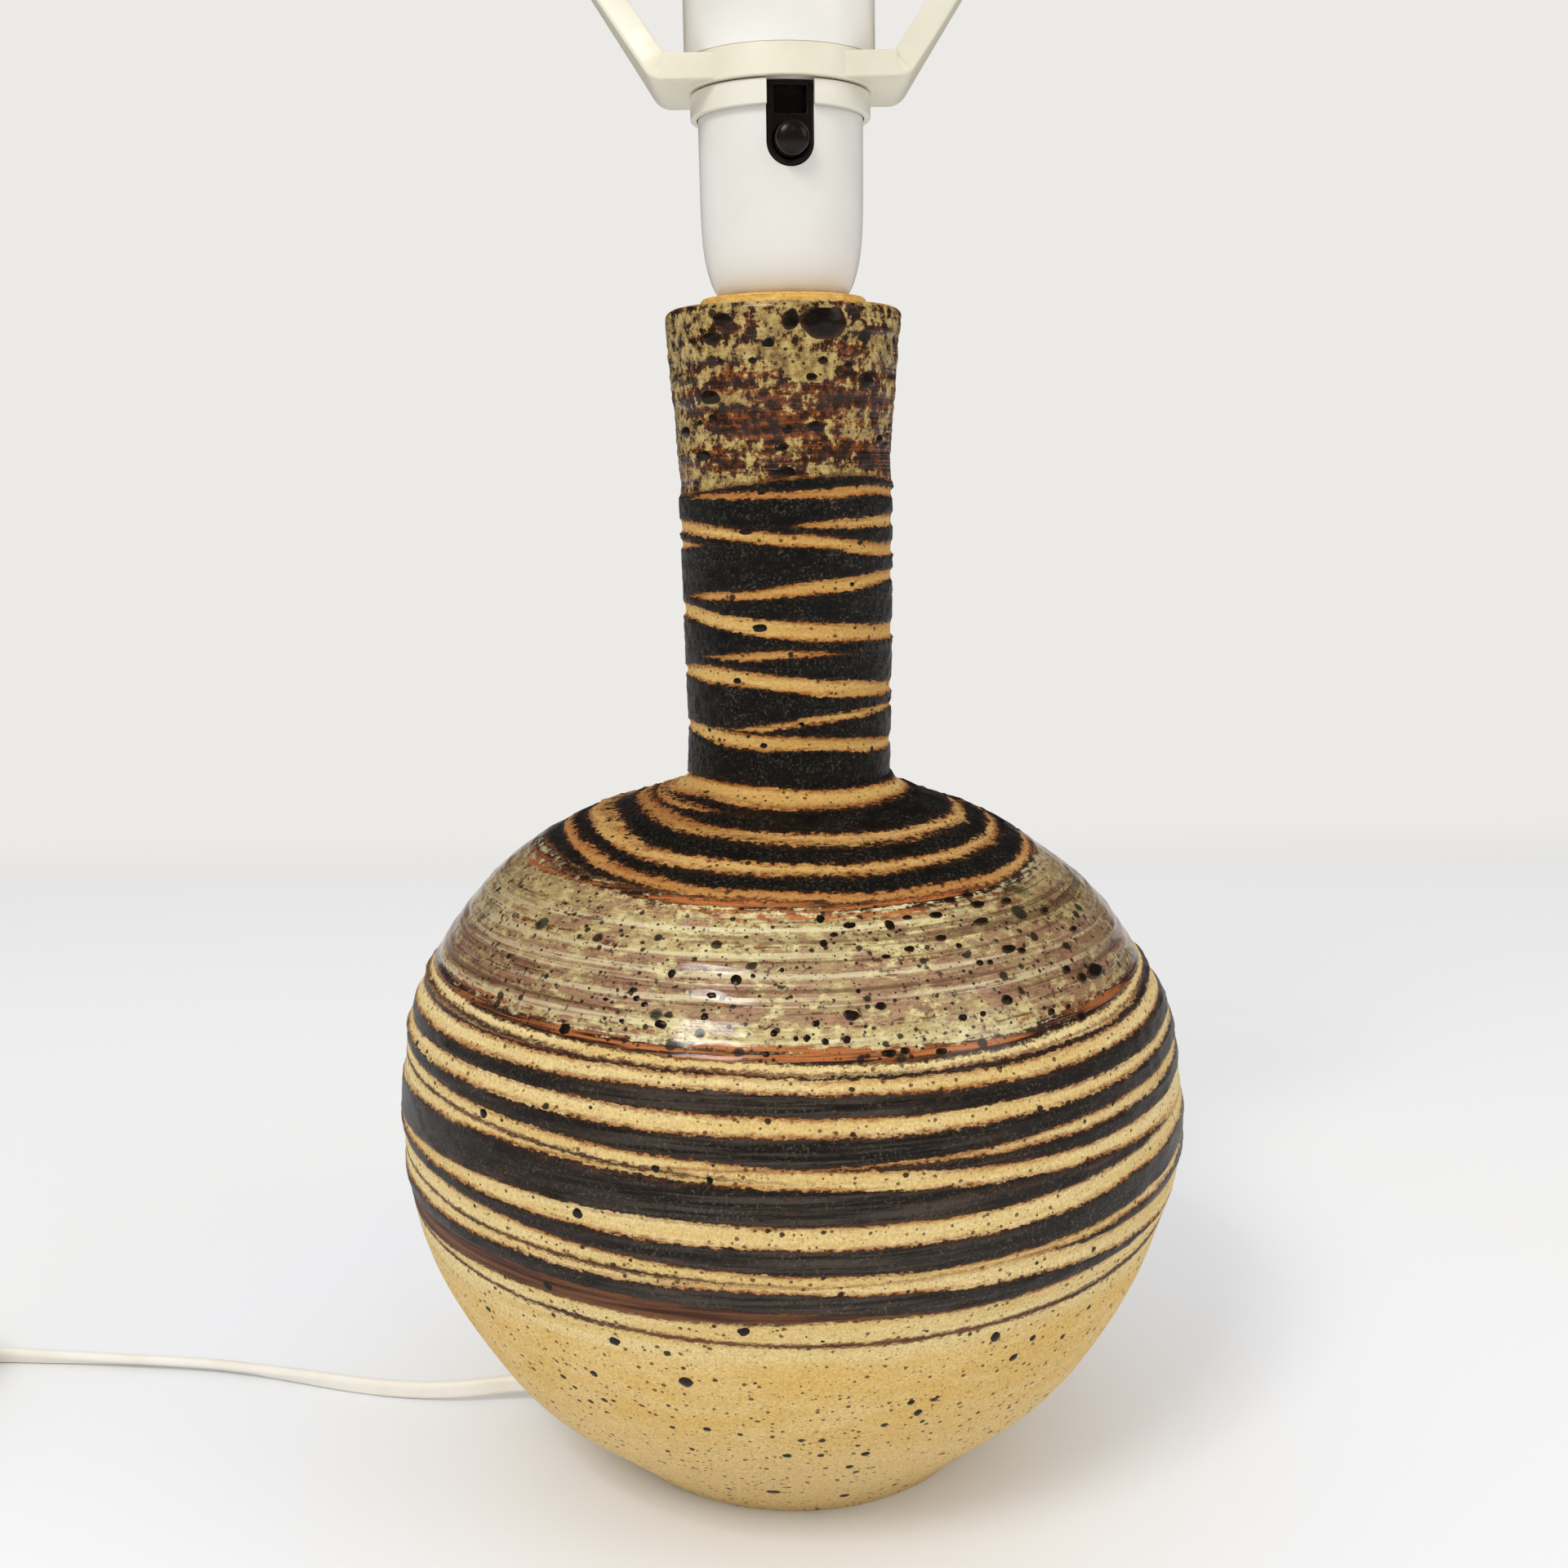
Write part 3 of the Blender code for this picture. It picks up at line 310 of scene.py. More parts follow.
def rounded(outline, radii, parts=4):
    """An outline whose corners are turned into small arcs: one radius for each point, 0 for none."""
    made = []
    count = len(outline)
    for index, (corner, radius) in enumerate(zip(outline, radii)):
        here = Vector(corner)
        if radius == 0:
            made.append(tuple(here))
            continue
        before, after = Vector(outline[index - 1]) - here, Vector(outline[(index + 1) % count]) - here
        start, end = here + before.normalized() * radius, here + after.normalized() * radius
        for part in range(parts + 1):
            t = part / parts
            made.append(tuple(start * (1 - t) ** 2 + here * 2 * t * (1 - t) + end * t**2))
    return made


def cut_away(bm, tool):
    """The bmesh with a tool's shape taken out of it, by an exact Boolean."""
    things = []
    for name, source in (("worked", bm), ("tool", tool)):
        mesh = bpy.data.meshes.new(name)
        source.to_mesh(mesh)
        source.free()
        thing = bpy.data.objects.new(name, mesh)
        scene.collection.objects.link(thing)
        things.append(thing)
    step = things[0].modifiers.new("cut", "BOOLEAN")
    step.operation = "DIFFERENCE"
    step.solver = "EXACT"
    step.object = things[1]
    bpy.context.view_layer.update()
    made = bmesh.new()
    made.from_object(things[0], bpy.context.evaluated_depsgraph_get())
    for thing in things:
        mesh = thing.data
        bpy.data.objects.remove(thing)
        bpy.data.meshes.remove(mesh)
    return made


one_round_corner = rounded([(0, 0), (1, 0), (1, 1), (0, 1)], [0.2, 0, 0, 0])
print("a square with one round corner has", len(one_round_corner), "points")

# %% [markdown]
# ## Table, wall and light
# The lamp stands on a pale table in front of a pale wall. One large sheet is enough: its colour is the
# table's by the lamp and the wall's further off, and the world has the wall's colour too. Round the lamp's
# foot the table has a painted cool tint that cancels warm light bounced from the pot. The light is a soft
# grey sky with one wide lamp high on the left and a weaker one on the right, so that a colour renders about
# as it is written and the lamp keeps a faint shadow.

# %% Table
table_look = new_look("table")
x, y, z = table_look.split(table_look.place())
far = table_look.step(y, 0.60, 0.80)
table_colour, painted_cool_tint, wall_colour = paint(239, 239, 238), paint(238, 241, 245), paint(236, 234, 231)
# Round the foot the table gets a painted cool tint, which cancels the warm light bounced onto it from the
# pot.
painted_tint_share = table_look.step(table_look.plus(x, x, table_look.times(y, y)), 0.07, 0.01)
surface = table_look.coats(table_colour, (painted_tint_share, 1.0, painted_cool_tint), (far, 1.0, wall_colour))
values = {"Base Color": surface, "Roughness": 0.55, "Specular IOR Level": 0.2}
table_look.fill(table_look.shader.inputs, values)
glow = table_look.add("Emission")
glow.inputs["Color"].default_value = wall_colour
far_seen = table_look.times(far, table_look.add("LightPath").outputs["Is Camera Ray"])
table_look.blend_shaders(far_seen, table_look.shader, glow, "Material Output")

sheet = bmesh.new()
table_half_side = 6.0
bmesh.ops.create_grid(sheet, x_segments=2, y_segments=2, size=table_half_side)
table_mesh = bpy.data.meshes.new("table")
sheet.to_mesh(table_mesh)
sheet.free()
table_mesh.materials.append(table_look.look)
table = bpy.data.objects.new("table", table_mesh)
scene.collection.objects.link(table)
print("table", table_half_side * 2, "m wide")

# %% [markdown]
# The world shows the wall's colour to the camera and lights the lamp as a plain sky. To a glossy ray the sky
# is nearly dark, as a room is beside its window, so that the black slip stays black and only the lamps make
# highlights on it. Two very small lamps give the glaze its sharp points of light.

# %% World and lamps
world = bpy.data.worlds.new("room")
world.use_nodes = True
scene.world = world
room = Net(world.node_tree)
sky, backdrop = world.node_tree.nodes["Background"], room.add("Background")
ray = room.add("LightPath").outputs
sky_strength, glossy_strength = 0.88, 0.06
dimmed = room.plus(ray["Is Glossy Ray"], glossy_strength - sky_strength, sky_strength)
room.fill(sky.inputs, {"Color": paint(250, 250, 252), "Strength": dimmed})
backdrop.inputs["Color"].default_value = wall_colour
room.blend_shaders(room.most(ray["Is Camera Ray"], ray["Is Transmission Ray"]), sky, backdrop, "World Output")

lit_point = Vector((0.0, 0.0, 0.15))
lamps = (
    ("window_left", (-0.7, -1.3, 1.6), 0.6, 15, (1.0, 0.99, 0.97)),
    ("fill_right", (1.4, -0.7, 1.0), 0.8, 4, (1.0, 0.96, 0.92)),
    ("glint_left", (-0.75, -1.2, 1.9), 0.06, 1.0, (1.0, 1.0, 1.0)),
    ("glint_right", (0.35, -1.5, 1.3), 0.05, 0.5, (1.0, 1.0, 1.0)),
)
for name, stands_at, width, power, colour in lamps:
    data = bpy.data.lights.new(name, "AREA")
    data.size, data.energy, data.color = width, power, colour
    lamp = bpy.data.objects.new(name, data)
    lamp.location = stands_at
    lamp.rotation_euler = (lit_point - Vector(stands_at)).to_track_quat("-Z", "Y").to_euler()
    scene.collection.objects.link(lamp)
scene.view_settings.view_transform = "Standard"
print(len(lamps), "lamps")

# %% [markdown]
# ## Moulded plastic
# The holder, the sleeve and the carrier are moulded. A real moulding has a faint unevenness in its gloss and
# a very shallow waviness, which keeps its highlights from looking drawn. One node group makes both, and each
# plastic sets its own colour and gloss.

# %% Moulded skin group
skin = new_effect("moulded_skin", {"Scale": 1.0}, ("Grime", "Gloss", "Wave"))
sized = skin.vector("SCALE", skin.place())
skin.join(skin.entry["Scale"], sized.node.inputs["Scale"])
skin_noises = {"Grime": (45.0, 4.0, 0.6), "Gloss": (240.0, 3.0, 0.6), "Wave": (900.0, 2.0, 0.5)}
for label, (scale, detail, roughness) in skin_noises.items():
    skin.join(skin.noise_on(sized, scale, detail, roughness), skin.leave[label])
print("moulded skin has", len(skin.tree.nodes), "nodes")


# %% Plastics
def plastic(name, clean, worn, roughness, coat=0.0, specular=0.5):
    """A moulded plastic that goes a little darker and duller in soft patches."""
    net = new_look(name)
    cover = net.group(skin)
    values = {
        "Base Color": net.mix(net.step(cover["Grime"], 0.35, 0.75), clean, worn),
        "Roughness": net.spread(cover["Gloss"], roughness * 0.85, roughness * 1.2),
        "Normal": net.bump(cover["Wave"], 0.04, 0.0002),
        "Coat Weight": coat,
        "Coat Roughness": 0.12,
        "Specular IOR Level": specular,
    }
    net.fill(net.shader.inputs, values)
    return net.look


white_plastic = plastic("white_plastic", paint(222, 220, 214), paint(216, 213, 204), 0.30, coat=0.15)
sleeve_plastic = plastic("sleeve_plastic", paint(236, 234, 228), paint(232, 229, 221), 0.30, coat=0.15)
collar_plastic = plastic("collar_plastic", paint(226, 221, 208), paint(219, 213, 197), 0.30, coat=0.15)
ivory_plastic = plastic("ivory_plastic", paint(228, 223, 203), paint(220, 213, 190), 0.34, coat=0.1)
black_plastic = plastic("black_plastic", paint(20, 12, 10), paint(28, 18, 15), 0.26, specular=0.22)
flex_plastic = plastic("flex_plastic", paint(240, 236, 226), paint(230, 223, 207), 0.42)
core_plastic = plastic("core_plastic", paint(120, 70, 40), paint(100, 58, 34), 0.45)
porcelain = plastic("porcelain", paint(228, 226, 218), paint(216, 212, 200), 0.22)
print(len(bpy.data.materials), "materials so far")

# %% [markdown]
# ## Metals
# The brass and plated steel inside the holder show only through its mouth. They are turned or pressed, so
# each gets fine lines round the axis and small changes of tint.


# %% Metals
def metal(name, bright, dull, roughness):
    net = new_look(name)
    lines, stains = net.noise(300.0, 6000.0, 3.0), net.noise(90.0, 90.0, 4.0, 0.6)
    values = {
        "Base Color": net.mix(net.step(stains, 0.4, 0.7), bright, dull),
        "Roughness": net.spread(lines, roughness * 0.7, roughness * 1.4),
        "Normal": net.bump(lines, 0.08, 0.0001),
        "Metallic": 1.0,
    }
    net.fill(net.shader.inputs, values)
    return net.look


brass = metal("brass", paint(222, 186, 112), paint(188, 142, 74), 0.30)
steel = metal("plated_steel", paint(196, 196, 194), paint(160, 160, 158), 0.32)
nickel = metal("nickel", paint(222, 218, 210), paint(196, 190, 180), 0.20)
print(len(bpy.data.materials), "materials so far")

# %% [markdown]
# Every CAD node but the pot's body gets its look here, also the ones that a smoother piece stands for further
# down. The pieces inside the lamp are shown as they are, so they need nothing else.

# %% Looks of the CAD nodes
dressing = {
    steel: (
        "threaded_nipple", "nipple_washer", "nipple_locknut", "nipple_lock_screw", "terminal_screw_left",
        "terminal_screw_right", "cord_grip_screw_left", "cord_grip_screw_right",
    ),
    brass: (
        "bridge_contact", "terminal_block_left", "terminal_block_right", "contact_rivet_left",
        "contact_rivet_right", "contact_strap_left", "contact_strap_right", "centre_contact", "screw_shell",
    ),
    porcelain: ("socket_base",),
    white_plastic: ("cord_grip_front", "cord_grip_rear", "cord_grommet", "holder_cap"),
    core_plastic: ("core_wire_left", "core_wire_right"),
    collar_plastic: ("holder_shell",),
    black_plastic: ("switch_housing", "push_bar", "coil_tie"),
    ivory_plastic: ("shade_carrier",),
    sleeve_plastic: ("clamp_sleeve",),
    nickel: ("plug_pin_left", "plug_pin_right"),
    flex_plastic: ("inner_cord", "plug_relief", "plug_body", "cord", "cord_coil", "cord_tail"),
}
for look, names in dressing.items():
    for name in names:
        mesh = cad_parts[name].data
        mesh.materials.clear()
        mesh.materials.append(look)
print(sum(len(names) for names in dressing.values()), "of", len(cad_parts), "CAD nodes dressed")

# %% [markdown]
# ## The flex
# The lamp has a flat flex of two cores side by side, 4.8 mm wide and 3 mm thick. It leaves the body by a
# soft bush, lies on the table towards the left of the picture and there goes into a coil with a tie, and the
# plug lies beside it. A curve along the route carries a small outline of the two cores. The curve's tilt
# turns the flat side as the flex lies in the picture, and stands it on edge in the coil.

# %% Route of the flex
flex_width, flex_thickness = 0.0048, 0.0030
flex_radius = flex_width / 2
exit_turn, exit_droop = math.radians(174.0), math.radians(6.0)
exit_way = Vector(
    (
        math.cos(exit_turn) * math.cos(exit_droop),
        math.sin(exit_turn) * math.cos(exit_droop),
        -math.sin(exit_droop),
    )
)
exit_tip = Vector((-0.0716, 0.0075, 0.0060))
table_route = (
    (-0.0800, 0.0082, 0.0051), (-0.0920, 0.0087, 0.0037), (-0.1040, 0.0104, 0.0028),
    (-0.1160, 0.0131, 0.0024), (-0.1274, 0.0163, 0.0024), (-0.1447, 0.0217, 0.0024),
    (-0.1622, 0.0265, 0.0024), (-0.1814, 0.0296, 0.0024), (-0.2030, 0.0320, 0.0024),
    (-0.2249, 0.0342, 0.0024), (-0.2400, 0.0352, 0.0028),
)
tail_route = (
    (-0.2780, 0.0346, 0.0192), (-0.2910, 0.0295, 0.0173), (-0.3035, 0.0200, 0.0142),
    (-0.3130, 0.0080, 0.0108), (-0.3184, -0.0050, 0.0080),
)
coil_centre = Vector((-0.2620, 0.0026, 0.0))
coil_mean_radius, coil_layers, coil_layer_turns = 0.0270, 4, 2.25
coil_pitch, coil_floor = 0.0053, 0.0037
coil_reach = coil_pitch * coil_layer_turns / 2
coil_points_per_turn = 40
plug_end = Vector((-0.3200, -0.0150, 0.00685))


def coil_route():
    """It spirals in and out by turns, and climbs a layer in the half turn where it reverses."""
    layer_angle = coil_layer_turns * 2 * math.pi
    total = coil_layers * layer_angle
    count = round(coil_layers * coil_layer_turns * coil_points_per_turn)
    route = []
    for index in range(count + 1):
        angle = total * index / count
        layer = min(coil_layers - 1, int(angle // layer_angle))
        share = (angle - layer * layer_angle) / layer_angle
        spread = 1 - 2 * share if layer % 2 == 0 else 2 * share - 1
        climbed = sum(
            min(1.0, max(0.0, (angle - reversal * layer_angle) / math.pi + 0.5))
            for reversal in range(1, coil_layers)
        )
        radius = coil_mean_radius + coil_reach * spread
        heading = math.pi / 2 + angle
        flat = Vector((math.cos(heading), math.sin(heading), 0.0)) * radius
        route.append(coil_centre + flat + Vector((0.0, 0.0, coil_floor + coil_pitch * climbed)))
    return route


coil = coil_route()
leftwards = Vector((-1.0, 0.0, 0.0))
straight_on, route_step = flex_width, 0.004
run = smooth_route(
    [exit_tip, exit_tip + exit_way * straight_on, *table_route, coil[0] - leftwards * straight_on], route_step
)
to_plug = (*tail_route, plug_end + Vector((0.0, straight_on, 0.0)), plug_end)
tail = smooth_route([coil[-1] + leftwards * straight_on, *to_plug], route_step)
route = [*run, *coil, *tail]
flex_length = sum((b - a).length for a, b in zip(route, route[1:]))
print("flex", round(flex_length, 3), "m,", len(route), "points")

# %% [markdown]
# Where the two cores meet, the flex has a shallow waist. Its outline is drawn as a flat curve, and the curve
# of the route carries it along as a bevel object. On the way to the coil the flat side leans by and by.

# %% Outline of the flex
outline_curve = bpy.data.curves.new("flex_outline", "CURVE")
outline_curve.dimensions = "2D"
spline = outline_curve.splines.new("POLY")
core_radius, core_reach = flex_thickness / 2, (flex_width - flex_thickness) / 2
outline_points, waist_depth = 24, 0.16
spline.points.add(outline_points - 1)
for index, point in enumerate(spline.points):
    angle = 2 * math.pi * index / outline_points
    side = 1 if math.cos(angle) >= 0 else -1
    waist = 1 - waist_depth * (1 - abs(math.cos(angle))) ** 2
    two_cores = side * core_reach + core_radius * math.cos(angle)
    across = two_cores * 0.5 + flex_width / 4 * math.cos(angle)
    point.co = (across, core_radius * math.sin(angle) * waist, 0.0, 1.0)
spline.use_cyclic_u = True
outline_thing = bpy.data.objects.new("flex_outline", outline_curve)
print("outline of", outline_points, "points")


# %% Flex
def between(marks, at):
    """A value read off (place, value) marks; past the last mark it stays at the last value."""
    for (a, low), (b, high) in zip(marks, marks[1:]):
        if a <= at <= b:
            return low + (high - low) * (at - a) / (b - a)
    return marks[-1][1]


lean_marks = (
    (-0.24, 90.0), (-0.19, 35.0), (-0.155, 40.0), (-0.125, 80.0), (-0.10, 88.0), (-0.05, 88.0),
)
flex_curve = bpy.data.curves.new("flex", "CURVE")
flex_curve.dimensions = "3D"
flex_curve.twist_mode = "Z_UP"
flex_curve.bevel_mode = "OBJECT"
flex_curve.bevel_object = outline_thing
flex_curve.use_fill_caps = True
spline = flex_curve.splines.new("POLY")
spline.points.add(len(route) - 1)
for index, (point, spot) in enumerate(zip(spline.points, route)):
    on_table = index < len(run) and spot.x > lean_marks[0][0]
    point.co = (*spot, 1.0)
    point.tilt = math.radians(between(lean_marks, spot.x) if on_table else 90.0)
flex_path = bpy.data.objects.new("flex_curve", flex_curve)
scene.collection.objects.link(flex_path)
bpy.context.view_layer.update()
swept = bpy.data.meshes.new_from_object(flex_path.evaluated_get(bpy.context.evaluated_depsgraph_get()))
flex_bm = bmesh.new()
flex_bm.from_mesh(swept)
bpy.data.meshes.remove(swept)
bpy.data.objects.remove(flex_path)
bpy.data.objects.remove(outline_thing)
bmesh.ops.remove_doubles(flex_bm, verts=flex_bm.verts, dist=1e-6)
bmesh.ops.recalc_face_normals(flex_bm, faces=flex_bm.faces)
flex_nodes = ("cord", "cord_coil", "cord_tail")
flex = finished("flex", flex_bm, flex_plastic, stands_for=flex_nodes, slot_name="flex_plastic")

# %% [markdown]
# ## The bands round the pot
# The decoration is measured as heights in millimetres at seven places across the front, given as degrees
# round the pot with the front at -90. Each band has an upper and a lower edge there, and a band that thins
# out has its upper edge below its lower one. The back is not seen, so each edge runs on from right to left.

# %% Bands
front_places = (-165, -135, -110, -90, -65, -40, -15)
dark_zone = (
    (241.0, 242.0, 243.4, 244.2, 244.9, 245.0, 243.5), (158.6, 156.4, 155.2, 154.4, 153.7, 153.5, 155.0),
)
shoulder_zone = dark_zone[1], (130.0, 129.0, 127.7, 126.7, 125.7, 126.7, 128.4)
clay_lines = (
    ((233.6, 233.6, 233.6, 233.7, 235.2, 235.5, 235.7), (234.6, 234.6, 234.6, 234.0, 233.0, 233.2, 232.9)),
    ((235.0, 234.0, 232.9, 232.2, 231.2, 229.7, 229.1), (232.0, 231.2, 230.0, 229.1, 228.2, 226.7, 226.0)),
    ((230.4, 229.2, 228.8, 228.8, 228.8, 228.8, 228.8), (228.3, 229.7, 230.2, 230.2, 230.2, 230.2, 230.2)),
    ((217.0, 218.5, 219.0, 220.5, 221.5, 222.2, 222.9), (217.4, 216.5, 217.0, 217.5, 218.2, 219.2, 220.0)),
    ((215.4, 214.0, 212.7, 212.0, 211.0, 210.2, 210.0), (212.0, 210.5, 208.7, 207.7, 206.7, 206.5, 206.0)),
    ((202.6, 203.5, 204.7, 205.2, 204.1, 203.2, 202.6), (203.6, 202.8, 202.5, 203.4, 203.7, 204.2, 203.6)),
    ((200.4, 201.2, 200.0, 199.0, 198.0, 197.0, 195.7), (197.9, 197.0, 196.6, 195.5, 194.0, 193.2, 192.9)),
    ((185.9, 186.1, 187.2, 188.7, 190.0, 190.5, 190.7), (186.9, 186.6, 186.0, 187.2, 188.2, 188.7, 189.0)),
    ((187.0, 186.2, 185.5, 185.2, 184.2, 183.2, 182.2), (184.5, 182.5, 181.7, 181.7, 181.0, 179.7, 179.5)),
    ((173.5, 173.7, 173.2, 172.7, 172.0, 171.7, 171.5), (169.7, 170.5, 169.5, 169.0, 168.7, 168.7, 168.7)),
    ((168.2, 166.9, 165.6, 165.0, 164.4, 164.2, 164.5), (167.2, 165.6, 164.4, 163.5, 162.7, 162.7, 163.0)),
    ((165.2, 162.9, 161.2, 160.7, 160.1, 160.2, 161.2), (163.4, 161.2, 159.0, 158.7, 158.2, 158.5, 159.5)),
)
rust_lines = (
    ((239.5, 241.3, 241.6, 241.2, 242.0, 242.6, 242.0), (240.0, 240.2, 239.9, 239.8, 239.5, 240.5, 239.8)),
    ((169.4, 169.0, 168.2, 168.0, 168.0, 168.0, 168.0), (168.5, 168.2, 168.6, 169.0, 169.0, 169.0, 169.0)),
    ((162.0, 159.3, 156.7, 156.0, 155.2, 155.2, 156.5), (160.6, 157.6, 155.1, 154.2, 153.5, 153.2, 154.7)),
)
slip_bands = (
    ((127.0, 126.2, 125.7, 124.6, 124.2, 124.0, 126.5), (125.6, 125.6, 125.4, 124.2, 123.2, 123.2, 125.2)),
    ((121.5, 122.0, 122.2, 121.5, 120.0, 119.7, 120.6), (118.3, 118.7, 118.0, 117.2, 116.0, 116.0, 117.0)),
    ((115.3, 115.0, 114.0, 113.2, 112.5, 113.0, 114.6), (113.0, 111.5, 109.5, 107.4, 108.2, 109.2, 110.8)),
    ((105.0, 105.0, 106.0, 107.2, 106.5, 106.0, 107.8), (106.0, 106.0, 106.6, 107.4, 104.0, 102.7, 104.2)),
    ((104.0, 106.0, 105.0, 103.2, 100.7, 98.7, 97.2), (95.5, 97.0, 96.5, 95.7, 95.0, 96.5, 98.2)),
    ((93.5, 92.7, 91.7, 90.7, 90.0, 91.5, 93.6), (91.3, 90.0, 87.0, 85.2, 84.2, 85.2, 87.6)),
    ((82.0, 82.0, 82.0, 82.0, 82.4, 82.7, 86.0), (83.0, 83.0, 83.0, 83.0, 82.9, 81.0, 82.4)),
    ((82.0, 82.2, 81.7, 81.0, 78.2, 76.0, 74.6), (79.0, 79.0, 78.0, 76.5, 73.5, 74.0, 75.4)),
)
thin_bands = (
    ((110.0, 108.6, 106.4, 104.2, 103.0, 103.0, 106.0), (109.3, 108.0, 105.9, 104.8, 104.0, 104.0, 107.0)),
    ((87.2, 85.2, 84.2, 82.5, 81.0, 80.0, 81.0), (86.6, 84.6, 83.5, 83.0, 82.0, 81.0, 82.0)),
    ((79.0, 79.0, 78.0, 76.5, 74.5, 74.0, 74.6), (73.5, 74.5, 73.5, 74.0, 74.0, 74.6, 75.2)),
    ((74.0, 71.5, 69.9, 68.7, 68.2, 69.0, 71.0), (73.4, 70.9, 69.1, 68.0, 67.2, 67.7, 69.6)),
    ((128.2, 127.2, 125.9, 125.0, 124.1, 125.0, 126.8), (127.6, 126.7, 125.3, 125.2, 124.4, 125.2, 126.3)),
)
measured = (dark_zone, shoulder_zone, *clay_lines, *rust_lines, *slip_bands, *thin_bands)
print(len(measured), "bands measured")

# %% [markdown]
# Each edge is carried round the pot on a smooth curve through its seven heights and read off at even steps.
# The relief of the mesh and the paint of the material both use these rings, so they always agree.

# %% Rings of the bands
millimetre = 0.001
ring_steps = 24


def round_the_pot(heights):
    """Heights at even steps from -180 to 180 degrees, on a curve without overshoot."""
    places = [*front_places, front_places[0] + 360]
    heights = [*heights, heights[0]]
    slopes = [(b - a) / (q - p) for p, q, a, b in zip(places, places[1:], heights, heights[1:])]
    around = [slopes[-1], *slopes, slopes[0]]
    tangents = [0.0 if a * b <= 0 else 2 * a * b / (a + b) for a, b in zip(around, around[1:])]
    ring = []
    for step in range(ring_steps + 1):
        angle = 360 * step / ring_steps - 180
        if angle < places[0]:
            angle += 360
        at = max(index for index in range(len(slopes)) if places[index] <= angle)
        span = places[at + 1] - places[at]
        t = (angle - places[at]) / span
        smooth = t * t * (3 - 2 * t)
        bend = tangents[at] * span * t * (1 - t) ** 2 - tangents[at + 1] * span * t * t * (1 - t)
        ring.append((heights[at] * (1 - smooth) + heights[at + 1] * smooth + bend) * millimetre)
    return ring


def band_rings(bands):
    return [(round_the_pot(upper), round_the_pot(lower)) for upper, lower in bands]


dark_ring, shoulder_ring = band_rings((dark_zone, shoulder_zone))
line_rings, rust_rings = band_rings(clay_lines), band_rings(rust_lines)
slip_rings, thin_rings = band_rings(slip_bands), band_rings(thin_bands)
print("slip reaches", round(max(dark_ring[0]) / millimetre, 1), "mm above the table")

# %% [markdown]
# ## The thrown body
# The outside follows an outline of height and radius. Its points lie close together where the decoration
# is, because the slip stands up from the clay there, throwing rings run through the glaze, and the edges of
# the slip carry small burrs. The inside is plain.

# %% Outline of the body
outline_marks = (
    (0.0, 45.0), (9.9, 55.6), (25.2, 72.2), (40.05, 82.6), (54.9, 90.4), (70.2, 95.25), (81.0, 97.4),
    (90.0, 97.9), (99.8, 97.3), (115.0, 94.2), (130.2, 86.9), (144.9, 74.5), (154.8, 61.0), (161.75, 49.2),
    (167.1, 34.5), (172.0, 25.5), (178.0, 24.7), (210.1, 25.0), (230.2, 25.26), (250.4, 25.43),
    (265.0, 26.4), (275.0, 27.1), (282.0, 27.5),
)
body_wall, foot_width = 0.0070, 0.0090
plate_underside, rim_height, rim_round = 0.2740, 0.2840, 0.0020
boss_radius, boss_top, nipple_hole = 0.0196, 0.2863, 0.0053
coarse_step, fine_step, fine_from, rim_steps = 0.0030, 0.00095, 0.063, 5
pot_columns = 300
marks = [(radius * millimetre, height * millimetre, 0.0) for height, radius in outline_marks]
coarse = [p for p in smooth_route(marks, coarse_step) if p.y < fine_from]
fine = [p for p in smooth_route(marks, fine_step) if p.y >= fine_from + coarse_step / 2]
outside = [(p.x, p.y) for p in (*coarse, *fine)]
print("outside rows", len(outside))


def outside_at(height):
    """Radius and outward direction (across, up) of the plain outline at a height."""
    for (r0, z0), (r1, z1) in zip(outside, outside[1:]):
        if z0 <= height <= z1:
            along = Vector((r1 - r0, z1 - z0)).normalized()
            return r0 + (r1 - r0) * (height - z0) / (z1 - z0), (along.y, -along.x)
    return outside[-1][0], (1.0, 0.0)


def ring_height(ring, turn):
    """Height of a band's edge at a share of the way round."""
    at = min(ring_steps - 1, int(turn * ring_steps))
    share = turn * ring_steps - at
    return ring[at] * (1 - share) + ring[at + 1] * share


def depth_in(band, turn, height):
    """How far inside a band a height lies; less than nothing is outside it."""
    return min(ring_height(band[0], turn) - height, height - ring_height(band[1], turn))


def slip_depth(turn, height):
    """Depth inside the dark slip, which the clay lines cut on the neck."""
    on_neck = depth_in(dark_ring, turn, height)
    if on_neck > 0:
        return min(on_neck, -max(depth_in(band, turn, height) for band in (*line_rings, *rust_rings)))
    return max(depth_in(band, turn, height) for band in slip_rings)


print("slip at the front, 200 mm up:", round(slip_depth(0.25, 0.2) / millimetre, 2), "mm inside its edge")

# %% [markdown]
# The pot isn't quite round. Its left shoulder stands higher than its right one, and the neck leans a little
# to the left. The table gives how far it swells on the left and on the right at each height, in millimetres.

# %% Swell of the body
swell_marks = (
    (0, 1.0, -0.6), (20, 1.3, -1.0), (48, 1.3, -1.4), (65, 1.4, -1.4), (76, 0.8, -0.8), (88, 0.3, -1.0),
    (105, 0.6, -1.2), (115, 1.6, -0.9), (130, 1.9, -1.9), (145, 2.7, -1.2), (155, 3.1, -0.7),
    (160, 2.0, -0.9), (166, 1.1, -0.8), (172, 0.5, -0.3), (185, 0.0, 0.0), (230, 0.0, 0.0), (250, 0.5, 0.1),
    (290, 0.9, 0.3),
)


def swell(angle, height):
    """How far the pot bulges on its left or right side."""
    level = height / millimetre
    for (z0, left0, right0), (z1, left1, right1) in zip(swell_marks, swell_marks[1:]):
        if level <= z1:
            share = (level - z0) / (z1 - z0)
            share *= share * (3 - 2 * share)
            low, high = (left0, left1) if math.cos(angle) < 0 else (right0, right1)
            return (low + (high - low) * share) * millimetre * abs(math.cos(angle)) ** 1.5
    return 0.0


